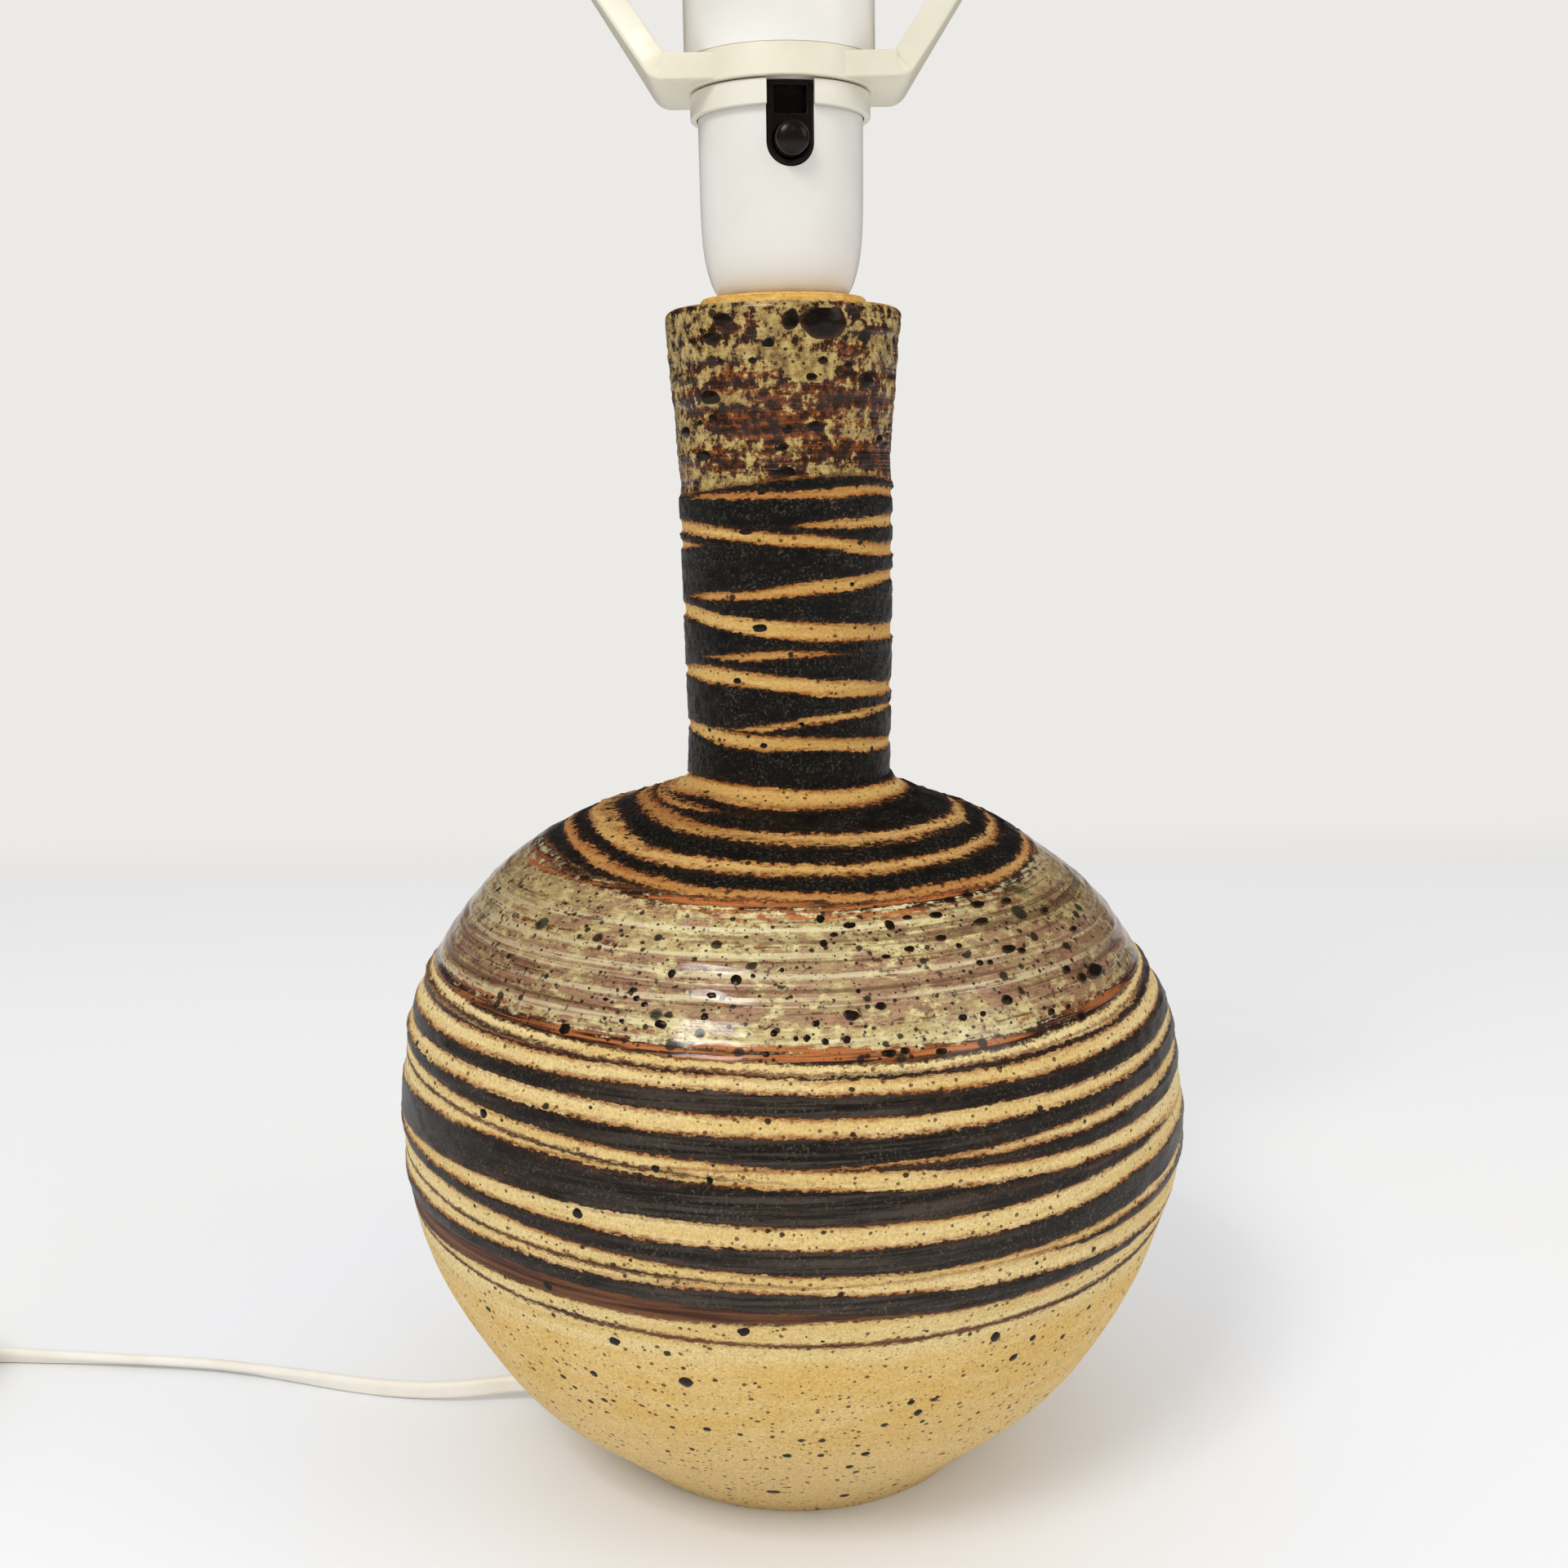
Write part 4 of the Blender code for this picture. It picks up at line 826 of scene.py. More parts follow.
print("swell of the left shoulder", round(swell(math.pi, 0.155) / millimetre, 1), "mm")

# %% [markdown]
# Thick slip stands up from the clay, its edge keeps small burrs from the brush, and its face is a dry crust.
# The glaze lies over throwing rings. All of it is a function of the direction and the height, so the iron
# spots can be set on the same surface later.

# %% Relief of the body
slip_rise, burr_rise, ring_rise, crust_rise, wobble = 0.00045, 0.00036, 0.00036, 0.00030, 0.00030
edge_half, burr_half, burr_reach, small_ring_share, wobble_middle = 0.00035, 0.0005, 0.002, 0.8, 0.3
burr_fineness, crust_fineness, wobble_fineness = (22, 900), (18, 450), (0.9, 36)
ring_fineness, small_ring_fineness = (0.5, 320), (6, 700)


def rough_at(angle, height, fineness):
    """Noise on the pot, with its fineness round the pot and up it."""
    across, up = fineness
    return noise.noise(Vector((math.cos(angle) * across, math.sin(angle) * across, height * up)))


def relief(angle, height):
    """How far the surface stands out from the plain outline."""
    turn = (angle / (2 * math.pi) + 0.5) % 1.0
    depth = slip_depth(turn, height)
    share = min(1.0, max(0.0, (depth + edge_half) / (2 * edge_half)))
    raised = slip_rise * share * share * (3 - 2 * share)
    if abs(depth) < burr_reach:
        burr = 2 * max(0.0, rough_at(angle, height, burr_fineness))
        raised += burr_rise * burr * math.exp(-((depth / burr_half) ** 2))
    raised += share * crust_rise * rough_at(angle, height, crust_fineness)
    if depth_in(shoulder_ring, turn, height) > 0 or height > ring_height(dark_ring[0], turn):
        raised += ring_rise * rough_at(angle, height, ring_fineness)
        raised += ring_rise * small_ring_share * rough_at(angle, height, small_ring_fineness)
    return raised + swell(angle, height) + wobble * (rough_at(angle, height, wobble_fineness) - wobble_middle)


print("relief in front, 100 mm up:", round(relief(-math.pi / 2, 0.1) / millimetre, 2), "mm")

# %% [markdown]
# A spin of so many points is slow. So the pot starts as a flat sheet of squares and is rolled up: its columns
# go round the pot, and its rows follow the closed outline of wall, boss, hollow and foot. The rows of the
# outside are moved out by the relief, which fades over the rim's round to the plain plate on top.

# %% Body
relief_rows = [(z0 + z1) / 2 for (_, z0), (_, z1) in zip(outside, outside[1:])]
out_ways = [(1.0, 0.0), *(outside_at(height)[1] for height in relief_rows[1:]), (1.0, 0.0)]
lip_radius_at, lip_height_at = outside[-1]
boss_groove, boss_edge = ((0.0022, 0.0), (0.0010, -0.0003), (0.0002, 0.0005)), 0.0004
inside_heights = (
    0.250, 0.210, 0.180, 0.168, 0.160, 0.150, 0.135, 0.115, 0.095, 0.075, 0.050, 0.030, 0.014,
)


def plain_rows():
    """(radius, height) of the rim, the plate with its boss, the hollow and the foot."""
    rows = []
    for step in range(1, rim_steps + 1):
        turn = math.pi / 2 * step / rim_steps
        edge = lip_radius_at - rim_round * (1 - math.cos(turn))
        rows.append((edge, rim_height - rim_round * (1 - math.sin(turn))))
    rows += [(boss_radius + out, rim_height + up) for out, up in boss_groove]
    rows += [
        (boss_radius, boss_top - boss_edge), (boss_radius - boss_edge, boss_top), (nipple_hole, boss_top),
        (nipple_hole, plate_underside), (outside_at(plate_underside)[0] - body_wall, plate_underside),
    ]
    for height in inside_heights:
        radius, (across, up) = outside_at(height)
        rows.append((radius - body_wall * across, height - body_wall * up))
    return [*rows, (outside[0][0] - foot_width, 0.0)]


def moved_out(number, angle):
    """How far the surface is moved out on a row of the outline, and which way (across, up)."""
    if number == 0:
        return swell(angle, outside[0][1]), out_ways[0]
    if number < len(outside):
        return relief(angle, outside[number][1]), out_ways[number]
    fading = 1 - (number - len(outside)) / (rim_steps + 1)
    if fading <= 0:
        return 0.0, (1.0, 0.0)
    return relief(angle, lip_height_at) * fading, (1.0, 0.0)


def make_body():
    rows = [*outside, *plain_rows()]
    bm = bmesh.new()
    bmesh.ops.create_grid(bm, x_segments=pot_columns, y_segments=len(rows), size=0.5)
    for vert in bm.verts:
        angle = 2 * math.pi * round((vert.co.x + 0.5) * pot_columns) / pot_columns - math.pi
        number = round((vert.co.y + 0.5) * len(rows)) % len(rows)
        (radius, height), (out, (across, up)) = rows[number], moved_out(number, angle)
        radius += out * across
        vert.co = radius * math.cos(angle), radius * math.sin(angle), height + out * up
    bmesh.ops.remove_doubles(bm, verts=bm.verts, dist=1e-7)
    bmesh.ops.recalc_face_normals(bm, faces=bm.faces)
    return bm


body_bm = make_body()
print("body", len(body_bm.verts), "points")

# %% [markdown]
# ## The pot's material
# The same bands are painted in the material, where every edge stays sharp. For each band one curve node
# turns the direction round the pot into its upper and lower edge, and the depth of a point inside the band
# follows. The depths join into one field for the dark slip, and from it come the slip, the rusty halo that
# the iron bleeds into the clay, and the small step at each edge. Noise shifts the height first, so that
# every edge is a little ragged.

# %% Band field group
depth_labels = ("Slip Depth", "Rust Depth", "Thin Depth", "Neck Glaze", "Shoulder Glaze", "Height", "Turn")
pot_bands = new_effect("pot_bands", {}, depth_labels)
x, y, z = pot_bands.split(pot_bands.place())
turn_share = pot_bands.plus(pot_bands.calc("ARCTAN2", y, x), 1 / (2 * math.pi), 0.5)
ragged = pot_bands.plus(pot_bands.noise(560.0, 1300.0, 6.0, 0.75), 0.0032, -0.0016)
slow_drift = pot_bands.plus(pot_bands.noise(45.0, 160.0, 2.0), 0.0012, -0.0006)
height = pot_bands.calc("ADD", z, pot_bands.calc("ADD", ragged, slow_drift))
above_and_below = pot_bands.add("CombineXYZ")
pot_bands.fill(above_and_below.inputs, {0: pot_bands.times(height, -1.0), 1: height})


def painted_depth(band):
    """Depth inside a band, as depth_in gives it."""
    node = pot_bands.add("VectorCurve")
    pot_bands.join(turn_share, node.inputs["Vector"])
    for curve, ring, sign in zip(node.mapping.curves, band, (1, -1)):
        curve.points[0].location = (0.0, sign * ring[0])
        curve.points[1].location = (1.0, sign * ring[-1])
        for step in range(1, ring_steps):
            curve.points.new(step / ring_steps, sign * ring[step])
        for point in curve.points:
            point.handle_type = "VECTOR"
    node.mapping.update()
    sides = pot_bands.split(pot_bands.vector("ADD", node.outputs[0], above_and_below.outputs[0]))
    return pot_bands.calc("MINIMUM", sides[0], sides[1])


def deepest(bands):
    return pot_bands.most(*(painted_depth(band) for band in bands))


far_above = 0.06
above_neck = [height_at + far_above for height_at in dark_ring[0]], dark_ring[0]
rust_depth = deepest(rust_rings)
cut_lines = pot_bands.most(deepest(line_rings), rust_depth)
neck_slip = pot_bands.calc("MINIMUM", painted_depth(dark_ring), pot_bands.times(cut_lines, -1.0))
found = (
    pot_bands.most(neck_slip, deepest(slip_rings)), rust_depth, deepest(thin_rings),
    painted_depth(above_neck), painted_depth(shoulder_ring), height, turn_share,
)
pot_bands.fill(pot_bands.leave, dict(zip(depth_labels, found)))
print("band field has", len(pot_bands.tree.nodes), "nodes")

# %% [markdown]
# Iron in the clay burns to dark specks. A Voronoi texture puts one point in each small cell. Its random
# colour says whether the cell has a speck and how large it is, and a fine noise bends its outline.

# %% Iron specks group
iron_specks = new_effect("iron_specks", {"Scale": 400.0, "Share": 0.4, "Size": 0.3}, ("Speck",))
size = iron_specks.entry["Size"]
flattened = iron_specks.vector("MULTIPLY", iron_specks.place(), (1.0, 1.0, 1.15))
bend = iron_specks.noise_on(flattened, 1500.0).node.outputs["Color"]
bent = iron_specks.vector("ADD", flattened, iron_specks.vector("MULTIPLY", bend, (0.0005, 0.0005, 0.0005)))
cells, chance = iron_specks.add("TexVoronoi"), iron_specks.add("SeparateColor")
iron_specks.fill(cells.inputs, {"Vector": bent, "Scale": iron_specks.entry["Scale"]})
iron_specks.join(cells.outputs["Color"], chance.inputs[0])
there = iron_specks.calc("LESS_THAN", chance.outputs["Red"], iron_specks.entry["Share"])
reach = iron_specks.times(iron_specks.calc("POWER", chance.outputs["Green"], 2.0), size)
reach = iron_specks.plus(reach, 0.8, iron_specks.times(size, 0.2))
inside = iron_specks.step(iron_specks.calc("DIVIDE", cells.outputs["Distance"], reach), 1.1, 0.75)
iron_specks.join(iron_specks.times(inside, there), iron_specks.leave["Speck"])
print("iron specks has", len(iron_specks.tree.nodes), "nodes")

# %% [markdown]
# Throwing and brushing draw everything out along the turning, so most of the noise is much finer up the pot
# than round it. Each pattern is made once here and serves several colours below.

# %% Patterns of the stoneware
ware = new_look("stoneware")
bands = ware.group(pot_bands)
level, turn_at = bands["Height"], bands["Turn"]
slip_at, shoulder_at = bands["Slip Depth"], bands["Shoulder Glaze"]
streaks = ware.noise(28.0, 900.0, 5.0, 0.65)
soft_streaks = ware.noise(16.0, 260.0, 3.0, 0.6)
ridges = ware.noise(5.0, 500.0, 3.0, 0.6)
mottle = ware.noise(300.0, 680.0, 6.0, 0.72)
coarse_mottle = ware.noise(60.0, 190.0, 4.0, 0.62)
patches = ware.noise(120.0, 300.0, 5.0, 0.68)
spatter = ware.noise(400.0, 330.0, 6.0, 0.72)
crust = ware.noise(620.0, 1000.0, 5.0, 0.8)
grain = ware.noise(1500.0, 1500.0, 4.0, 0.75)


def specks(scale, share, size):
    return ware.group(iron_specks, Scale=scale, Share=share, Size=size)["Speck"]


dust, fine_specks = specks(1100.0, 0.45, 0.42), specks(640.0, 0.60, 0.40)
middle_specks, large_specks = specks(280.0, 0.48, 0.27), specks(105.0, 0.48, 0.27)
glaze_specks = ware.most(specks(230.0, 0.55, 0.36), middle_specks, fine_specks, ware.times(dust, 0.7))
soft_blots = specks(78.0, 0.42, 0.40)
print("patterns take", len(ware.tree.nodes), "nodes")

# %% [markdown]
# The bare clay is a warm straw colour, browner on the shoulder and redder above the foot. Next to the slip
# the iron has bled into it, and a few thin bands are only a wash of slip.

# %% Clay
drift, grey_streaks = ware.step(soft_streaks, 0.35, 0.68), ware.step(streaks, 0.38, 0.64)
halo = ware.times(ware.step(slip_at, -0.0012, 0.0), ware.step(streaks, 0.28, 0.56))
upper_clay = ware.mix(drift, paint(224, 187, 112), paint(207, 161, 86))
low_clay = ware.mix(ware.step(coarse_mottle, 0.35, 0.68), paint(232, 194, 112), paint(238, 208, 138))
thin_slip = ware.mix(grey_streaks, paint(62, 35, 22), paint(118, 76, 48))
clay = ware.coats(
    ware.mix(drift, paint(241, 219, 158), paint(229, 199, 128)),
    (ware.step(level, 0.124, 0.148), 1.0, upper_clay),
    (ware.step(level, 0.067, 0.061), 1.0, low_clay),
    (ware.step(level, 0.046, 0.030), 0.75, paint(234, 204, 140)),
    (ware.step(grain, 0.36, 0.64), 0.36, paint(146, 96, 40)),
    (halo, 0.9, paint(146, 78, 26)),
    (ware.most(fine_specks, ware.times(dust, 0.6)), 0.85, paint(92, 52, 24)),
    (middle_specks, 0.95, paint(40, 26, 16)),
    (ware.step(bands["Rust Depth"], -0.0002, 0.0006), 0.35, paint(172, 102, 48)),
    (ware.step(bands["Thin Depth"], -0.0007, 0.0002), 1.0, thin_slip),
)
print("with the clay,", len(ware.tree.nodes), "nodes")

# %% [markdown]
# The slip is nearly black on the neck and a browner black on the belly, where it is worn in places. It is
# burnt dry, with tiny metallic glints, and on one side of the front of the belly it has a painted sheen.

# %% Dark slip
slip = ware.step(slip_at, -0.00008, 0.00018)
brushed, on_belly = ware.step(streaks, 0.45, 0.78), ware.step(level, 0.150, 0.130)
neck_dark = ware.mix(brushed, paint(11, 10, 7), paint(27, 22, 14))
belly_dark = ware.mix(brushed, paint(27, 20, 13), paint(60, 44, 30))
worn = ware.times(ware.step(soft_streaks, 0.54, 0.68), ware.step(mottle, 0.4, 0.7))
# Painted sheen: the belly's slip is lighter in streaks on one side of the front, a highlight painted into its
# colour.
painted_sheen_side = ware.times(ware.step(turn_at, 0.14, 0.22), ware.step(turn_at, 0.35, 0.28))
painted_sheen = ware.times(painted_sheen_side, ware.step(streaks, 0.40, 0.62))
glints = ware.times(ware.step(grain, 0.52, 0.66), ware.step(patches, 0.36, 0.60))
dark = ware.coats(
    ware.mix(on_belly, neck_dark, belly_dark),
    (ware.times(worn, ware.step(level, 0.160, 0.140)), 0.65, paint(112, 62, 38)),
    (ware.times(painted_sheen, on_belly), 0.4, paint(104, 94, 84)),
    (glints, 0.6, paint(140, 130, 112)),
    (ware.step(crust, 0.46, 0.34), 0.7, paint(12, 8, 5)),
    (ware.step(slip_at, 0.0008, 0.0001), 0.4, paint(74, 34, 12)),
)
print("with the slip,", len(ware.tree.nodes), "nodes")

# %% [markdown]
# The glaze on top of the neck has broken into straw-coloured islands and rusty brown, with black spatter.
# The brown gives way near the rim and towards the left side.

# %% Glaze of the neck
neck_light = ware.mix(ware.step(spatter, 0.32, 0.62), paint(192, 168, 104), paint(122, 90, 42))
neck_brown = ware.mix(ware.step(streaks, 0.36, 0.7), paint(52, 25, 6), paint(142, 70, 20))
lighter = ware.plus(ware.step(turn_at, 0.19, 0.10), 0.07, ware.times(ware.step(level, 0.262, 0.274), 0.07))
brown_at = ware.calc("SUBTRACT", ware.plus(spatter, 0.9, coarse_mottle), lighter)
spattered = ware.step(ware.plus(coarse_mottle, 0.35, spatter), 0.69, 0.74)
neck_glaze = ware.coats(
    ware.mix(ware.step(brown_at, 0.86, 0.93), neck_light, neck_brown), (spattered, 0.92, paint(30, 17, 6))
)
print("with the neck's glaze,", len(ware.tree.nodes), "nodes")

# %% [markdown]
# The shoulder's glaze is straw and brown by turns. Its throwing ridges get a painted highlight on their tops
# and painted shade in the valleys between them, where it runs thin it is darker in patches, and near its
# upper and lower edge it has burnt to rust. It is darker away from the front, as painted shade. Soft green
# blots and black specks float in it.

# %% Glaze of the shoulder
by_mottle = ware.step(mottle, 0.3, 0.7)
light = ware.mix(by_mottle, paint(226, 212, 154), paint(158, 130, 72))
brown = ware.mix(by_mottle, paint(104, 66, 40), paint(182, 142, 112))
middle_zone = ware.times(ware.step(level, 0.148, 0.141), ware.step(level, 0.1305, 0.1365))
brown_at = ware.plus(mottle, 0.5, ware.plus(middle_zone, 0.08, ware.times(patches, 0.6)))
thin_glaze = ware.plus(mottle, 0.7, streaks)
weaker_above = ware.plus(ware.step(level, 0.140, 0.147), -0.25, 1.0)
near_edge = ware.times(ware.step(shoulder_at, 0.0052, 0.0), weaker_above)
burnt = ware.step(ware.plus(near_edge, 0.42, thin_glaze), 1.00, 1.12)
rust = ware.mix(ware.step(streaks, 0.46, 0.62), paint(48, 22, 9), paint(182, 108, 54))
glaze = ware.coats(
    ware.mix(ware.step(brown_at, 0.50, 0.66), light, brown),
    (ware.step(coarse_mottle, 0.5, 0.62), 0.35, paint(172, 158, 104)),
    # Painted highlight on the tops of the throwing ridges and painted shade in the valleys between them.
    (ware.step(ridges, 0.55, 0.64), 0.6, paint(230, 220, 176)),
    (ware.step(ridges, 0.44, 0.36), 0.65, paint(88, 56, 30)),
    (ware.step(thin_glaze, 0.93, 1.02), 0.85, paint(74, 42, 18)),
    (ware.step(spatter, 0.585, 0.65), 0.85, paint(54, 31, 14)),
    (burnt, 1.0, rust),
)
# Painted shade: the glaze is darkened away from the front, most at the sides and back.
painted_side_shade = ware.most(ware.step(turn_at, 0.29, 0.40), ware.step(turn_at, 0.21, 0.10))
glaze = ware.coats(
    ware.mix(ware.times(painted_side_shade, 0.45), glaze, paint(168, 134, 104), blend="MULTIPLY"),
    (ware.times(soft_blots, by_mottle), 0.6, paint(58, 66, 36)),
    (large_specks, 0.9, paint(24, 32, 18)),
)
print("with the shoulder's glaze,", len(ware.tree.nodes), "nodes")

# %% [markdown]
# Now the parts are laid over one another: the slip on the clay, the two glazes on both, the specks that show
# through the glaze, and the bare clay of the rim. The glaze gets a clear coat, the slip's glints turn to
# metal, and the skin's height is rough on clay and slip and rounded under the glaze.

# %% Whole stoneware
in_neck = ware.step(bands["Neck Glaze"], -0.0004, 0.0008)
in_shoulder = ware.step(shoulder_at, -0.0002, 0.0004)
glazed = ware.most(in_neck, in_shoulder)
on_rim = ware.step(level, rim_height - 0.0006, rim_height + 0.0003)
rim_clay = ware.mix(ware.step(mottle, 0.35, 0.65), paint(196, 146, 66), paint(232, 190, 104))
colour = ware.coats(
    ware.mix(slip, clay, dark),
    (in_neck, 1.0, neck_glaze),
    (in_shoulder, 1.0, glaze),
    (ware.times(glazed, glaze_specks), 0.92, paint(30, 19, 9)),
    (on_rim, 1.0, rim_clay),
)
dry_roughness = ware.plus(slip, -0.26, ware.plus(grain, 0.25, 0.46))
coat = ware.plus(in_neck, 0.3, ware.plus(in_shoulder, 0.6, ware.times(slip, 0.06)))
rough_skin = ware.plus(ware.times(slip, crust), 2.4, ware.plus(streaks, 0.8, grain))
rough_skin = ware.plus(ware.most(fine_specks, middle_specks), 0.5, rough_skin)
smooth_skin = ware.plus(glaze_specks, 0.3, ware.plus(ridges, 4.0, ware.times(mottle, 0.9)))
values = {
    "Base Color": colour,
    "Roughness": ware.plus(glazed, -0.30, dry_roughness),
    "Metallic": ware.times(ware.times(glints, slip), 0.8),
    "Coat Weight": ware.times(coat, ware.plus(on_rim, -1.0, 1.0)),
    "Normal": ware.bump(ware.mix_values(glazed, rough_skin, smooth_skin), 0.9, 0.0004),
    "Coat Roughness": 0.12,
    "Coat IOR": 1.5,
    "Specular IOR Level": 0.18,
}
ware.fill(ware.shader.inputs, values)
finished("ceramic_pot", body_bm, ware.look, stands_for=("ceramic_body",), slot_name="stoneware")

# %% [markdown]
# ## Iron spots
# The largest iron spots are blisters that stand up from the glaze and the clay. Each is a low dome with an
# uneven outline, given by its direction in degrees, its height and its half width and half height in
# millimetres. Those of the front are as in the picture, and a few more lie on the unseen back.

# %% Places of the iron spots
front_spots = (
    (-70, 279, 5.5, 3.6), (-87, 279.5, 1.9, 2.3), (-120, 280, 2.6, 1.7), (-126.5, 276, 2.6, 1.6),
    (-47.5, 276, 1.9, 1.2), (-97.5, 274.5, 1.4, 1.0), (-46, 266.4, 2.6, 1.6), (-130.5, 263, 2.9, 1.6),
    (-129.5, 258.5, 1.3, 0.9), (-153.5, 255.4, 2.4, 1.3), (-138, 250, 2.6, 1.2), (-30, 253, 1.8, 1.1),
    (-19.5, 254, 1.4, 0.9), (-74.5, 256, 2.1, 1.2), (-89, 255.4, 1.2, 0.9), (-92, 251.5, 1.6, 1.0),
    (-92, 246, 3.4, 1.2), (-139, 257.5, 1.0, 0.7), (-77, 267, 1.3, 0.8), (-57, 269.7, 1.3, 0.8),
    (-71, 270.6, 1.1, 0.9), (-122, 270.7, 1.0, 0.7), (-105.5, 270.7, 1.0, 0.7), (-105.5, 210.4, 1.9, 0.9),
    (-119.5, 197.9, 1.1, 0.7), (-47.5, 229.5, 0.8, 0.6), (-53, 220, 0.7, 0.5), (-48, 197.7, 0.8, 0.6),
    (-83.8, 187.9, 0.7, 0.5), (-37, 190, 0.8, 0.5), (-104.5, 182.9, 0.9, 0.6), (-141.5, 185.6, 0.7, 0.5),
    (-103, 241.4, 0.9, 0.6), (-112, 232.6, 1.7, 0.7), (-136.5, 148.9, 1.8, 1.1), (-119, 147.9, 1.5, 0.9),
    (-37, 147, 1.3, 0.8), (-70.5, 145.6, 1.1, 0.7), (-44.5, 150.4, 1.5, 0.8), (-83, 148.9, 0.9, 0.6),
    (-136, 135.7, 1.6, 1.1), (-109.2, 133.2, 1.3, 1.0), (-82, 135.2, 1.5, 1.1), (-77.5, 136.4, 1.1, 0.8),
    (-124, 129.9, 1.7, 1.3), (-65.5, 132.7, 1.0, 0.7), (-44.2, 127.4, 1.5, 0.9), (-42, 136.4, 1.1, 0.8),
    (-35, 134, 3.2, 1.6), (-75.2, 128.2, 1.0, 0.7), (-87.2, 134, 0.8, 0.6), (-115.3, 133, 0.9, 0.6),
    (-49.8, 130.1, 0.9, 0.6), (-134.8, 110, 1.2, 1.1), (-118, 94.6, 1.2, 1.1), (-107.5, 106.4, 0.9, 0.8),
    (-100.7, 104.9, 0.8, 0.7), (-123.7, 75.7, 1.2, 1.2), (-97, 72, 1.2, 1.1), (-114.5, 65.7, 1.3, 1.1),
    (-138, 62, 1.0, 0.9), (-105.3, 57.5, 1.5, 1.5), (-119.5, 54.7, 1.0, 1.0), (-63.5, 63.9, 1.2, 1.3),
    (-56.5, 59.9, 0.8, 0.8), (-59.2, 56.1, 1.0, 0.9), (-74.5, 49.9, 0.8, 0.7), (-73, 46.1, 0.9, 1.0),
    (-104, 43, 0.9, 0.8), (-92.3, 34.9, 1.0, 0.8), (-79.8, 33.9, 1.0, 0.9), (-82, 29.2, 0.9, 0.8),
    (-112.5, 32, 0.7, 0.6), (-118, 47.1, 0.7, 0.6), (-96.3, 14.5, 1.6, 1.2), (-79.5, 9.2, 1.1, 0.8),
    (-124.5, 145, 1, 0.9), (-137, 140.75, 1.7, 1), (-129, 141, 1.3, 1), (-127, 141.5, 1, 1),
    (-121.5, 140, 1.3, 1.1),
    (-118, 139, 1.3, 0.8), (-115, 138.5, 1.3, 1), (-121.5, 136, 0.9, 0.7), (-119, 136.25, 1.1, 0.9),
    (-114, 137.25, 0.9, 0.9), (-112.5, 136.25, 0.9, 0.8), (-112.5, 144.25, 1.1, 0.9), (-110, 144.5, 1, 0.9),
    (-109.5, 142, 0.8, 1.1), (-109, 146.75, 0.9, 0.9), (-99, 141.5, 1.1, 1.2), (-102.5, 138.75, 1, 0.7),
    (-103, 135, 0.8, 0.8), (-93, 132.5, 0.7, 0.7), (-88.5, 131.5, 0.7, 0.8), (-90, 131.5, 0.5, 0.6),
    (-94, 128.75, 0.7, 0.6), (-123, 152, 1.7, 0.8), (-124, 148.75, 0.9, 0.8), (-102.5, 150.25, 0.6, 0.6),
    (-92, 143.25, 0.5, 0.5), (-96.5, 142.25, 0.5, 0.5), (-85, 147.5, 0.8, 1), (-85, 151.5, 0.9, 1.2),
    (-151.5, 147.5, 1, 0.4), (-143, 146.75, 1.2, 0.6), (-80, 150.25, 1.4, 0.8), (-72.5, 149.75, 1, 1.4),
    (-68.5, 150.75, 1, 0.6), (-75, 144.75, 1.1, 0.5), (-62.5, 150.5, 1.5, 0.8), (-52.5, 152.75, 1.5, 0.7),
    (-57.5, 152.5, 1.6, 0.8), (-52, 151, 1.7, 0.9), (-54, 148.25, 2, 0.9), (-64, 146.75, 1.2, 0.7),
    (-61.5, 145, 0.7, 0.6), (-52, 142.75, 1.9, 0.9), (-49.5, 142, 1.1, 0.6), (-59, 141.5, 0.8, 0.6),
    (-57, 141.25, 0.7, 0.5), (-39.5, 134, 1.4, 1.1), (-57, 134.25, 1.3, 1), (-46, 130, 0.8, 0.5),
    (-62, 132.75, 0.7, 0.6), (-86, 130.75, 0.7, 0.7), (-83, 131, 0.8, 0.8), (-77.5, 128, 1.5, 0.8),
    (-70, 127.25, 1.2, 0.7), (-80.5, 139.25, 0.5, 0.5), (-33, 142.25, 1.4, 0.6),
)
print(len(front_spots), "spots in front")

# %% [markdown]
# A blister is blackish and glossy, with a browner edge where it thins out into the glaze. The edge comes
# from an attribute that is written on each dome: 0 at its middle and 1 at its rim.

# %% Look of the iron spots
blister = new_look("iron_spot")
tint = blister.noise(500.0, 500.0, 3.0, 0.6)
edge = blister.add("Attribute", attribute_name="spot_edge").outputs["Fac"]
inner = blister.mix(blister.step(tint, 0.35, 0.7), paint(14, 10, 6), paint(34, 22, 12))
at_edge = blister.step(blister.plus(tint, 0.4, edge), 0.88, 1.16)
values = {
    "Base Color": blister.mix(at_edge, inner, paint(70, 42, 20)),
    "Normal": blister.bump(blister.noise(1600.0, 1600.0, 2.0), 0.3, 0.0002),
    "Roughness": 0.32,
    "Specular IOR Level": 0.14,
    "Coat Weight": 0.12,
    "Coat Roughness": 0.08,
}
blister.fill(blister.shader.inputs, values)


def scatter(index, channel):
    """An even number between 0 and 1 that stays the same from run to run."""
    return noise.cell(Vector((index + 0.5, channel + 0.5, 7.5))) * 0.5 + 0.5


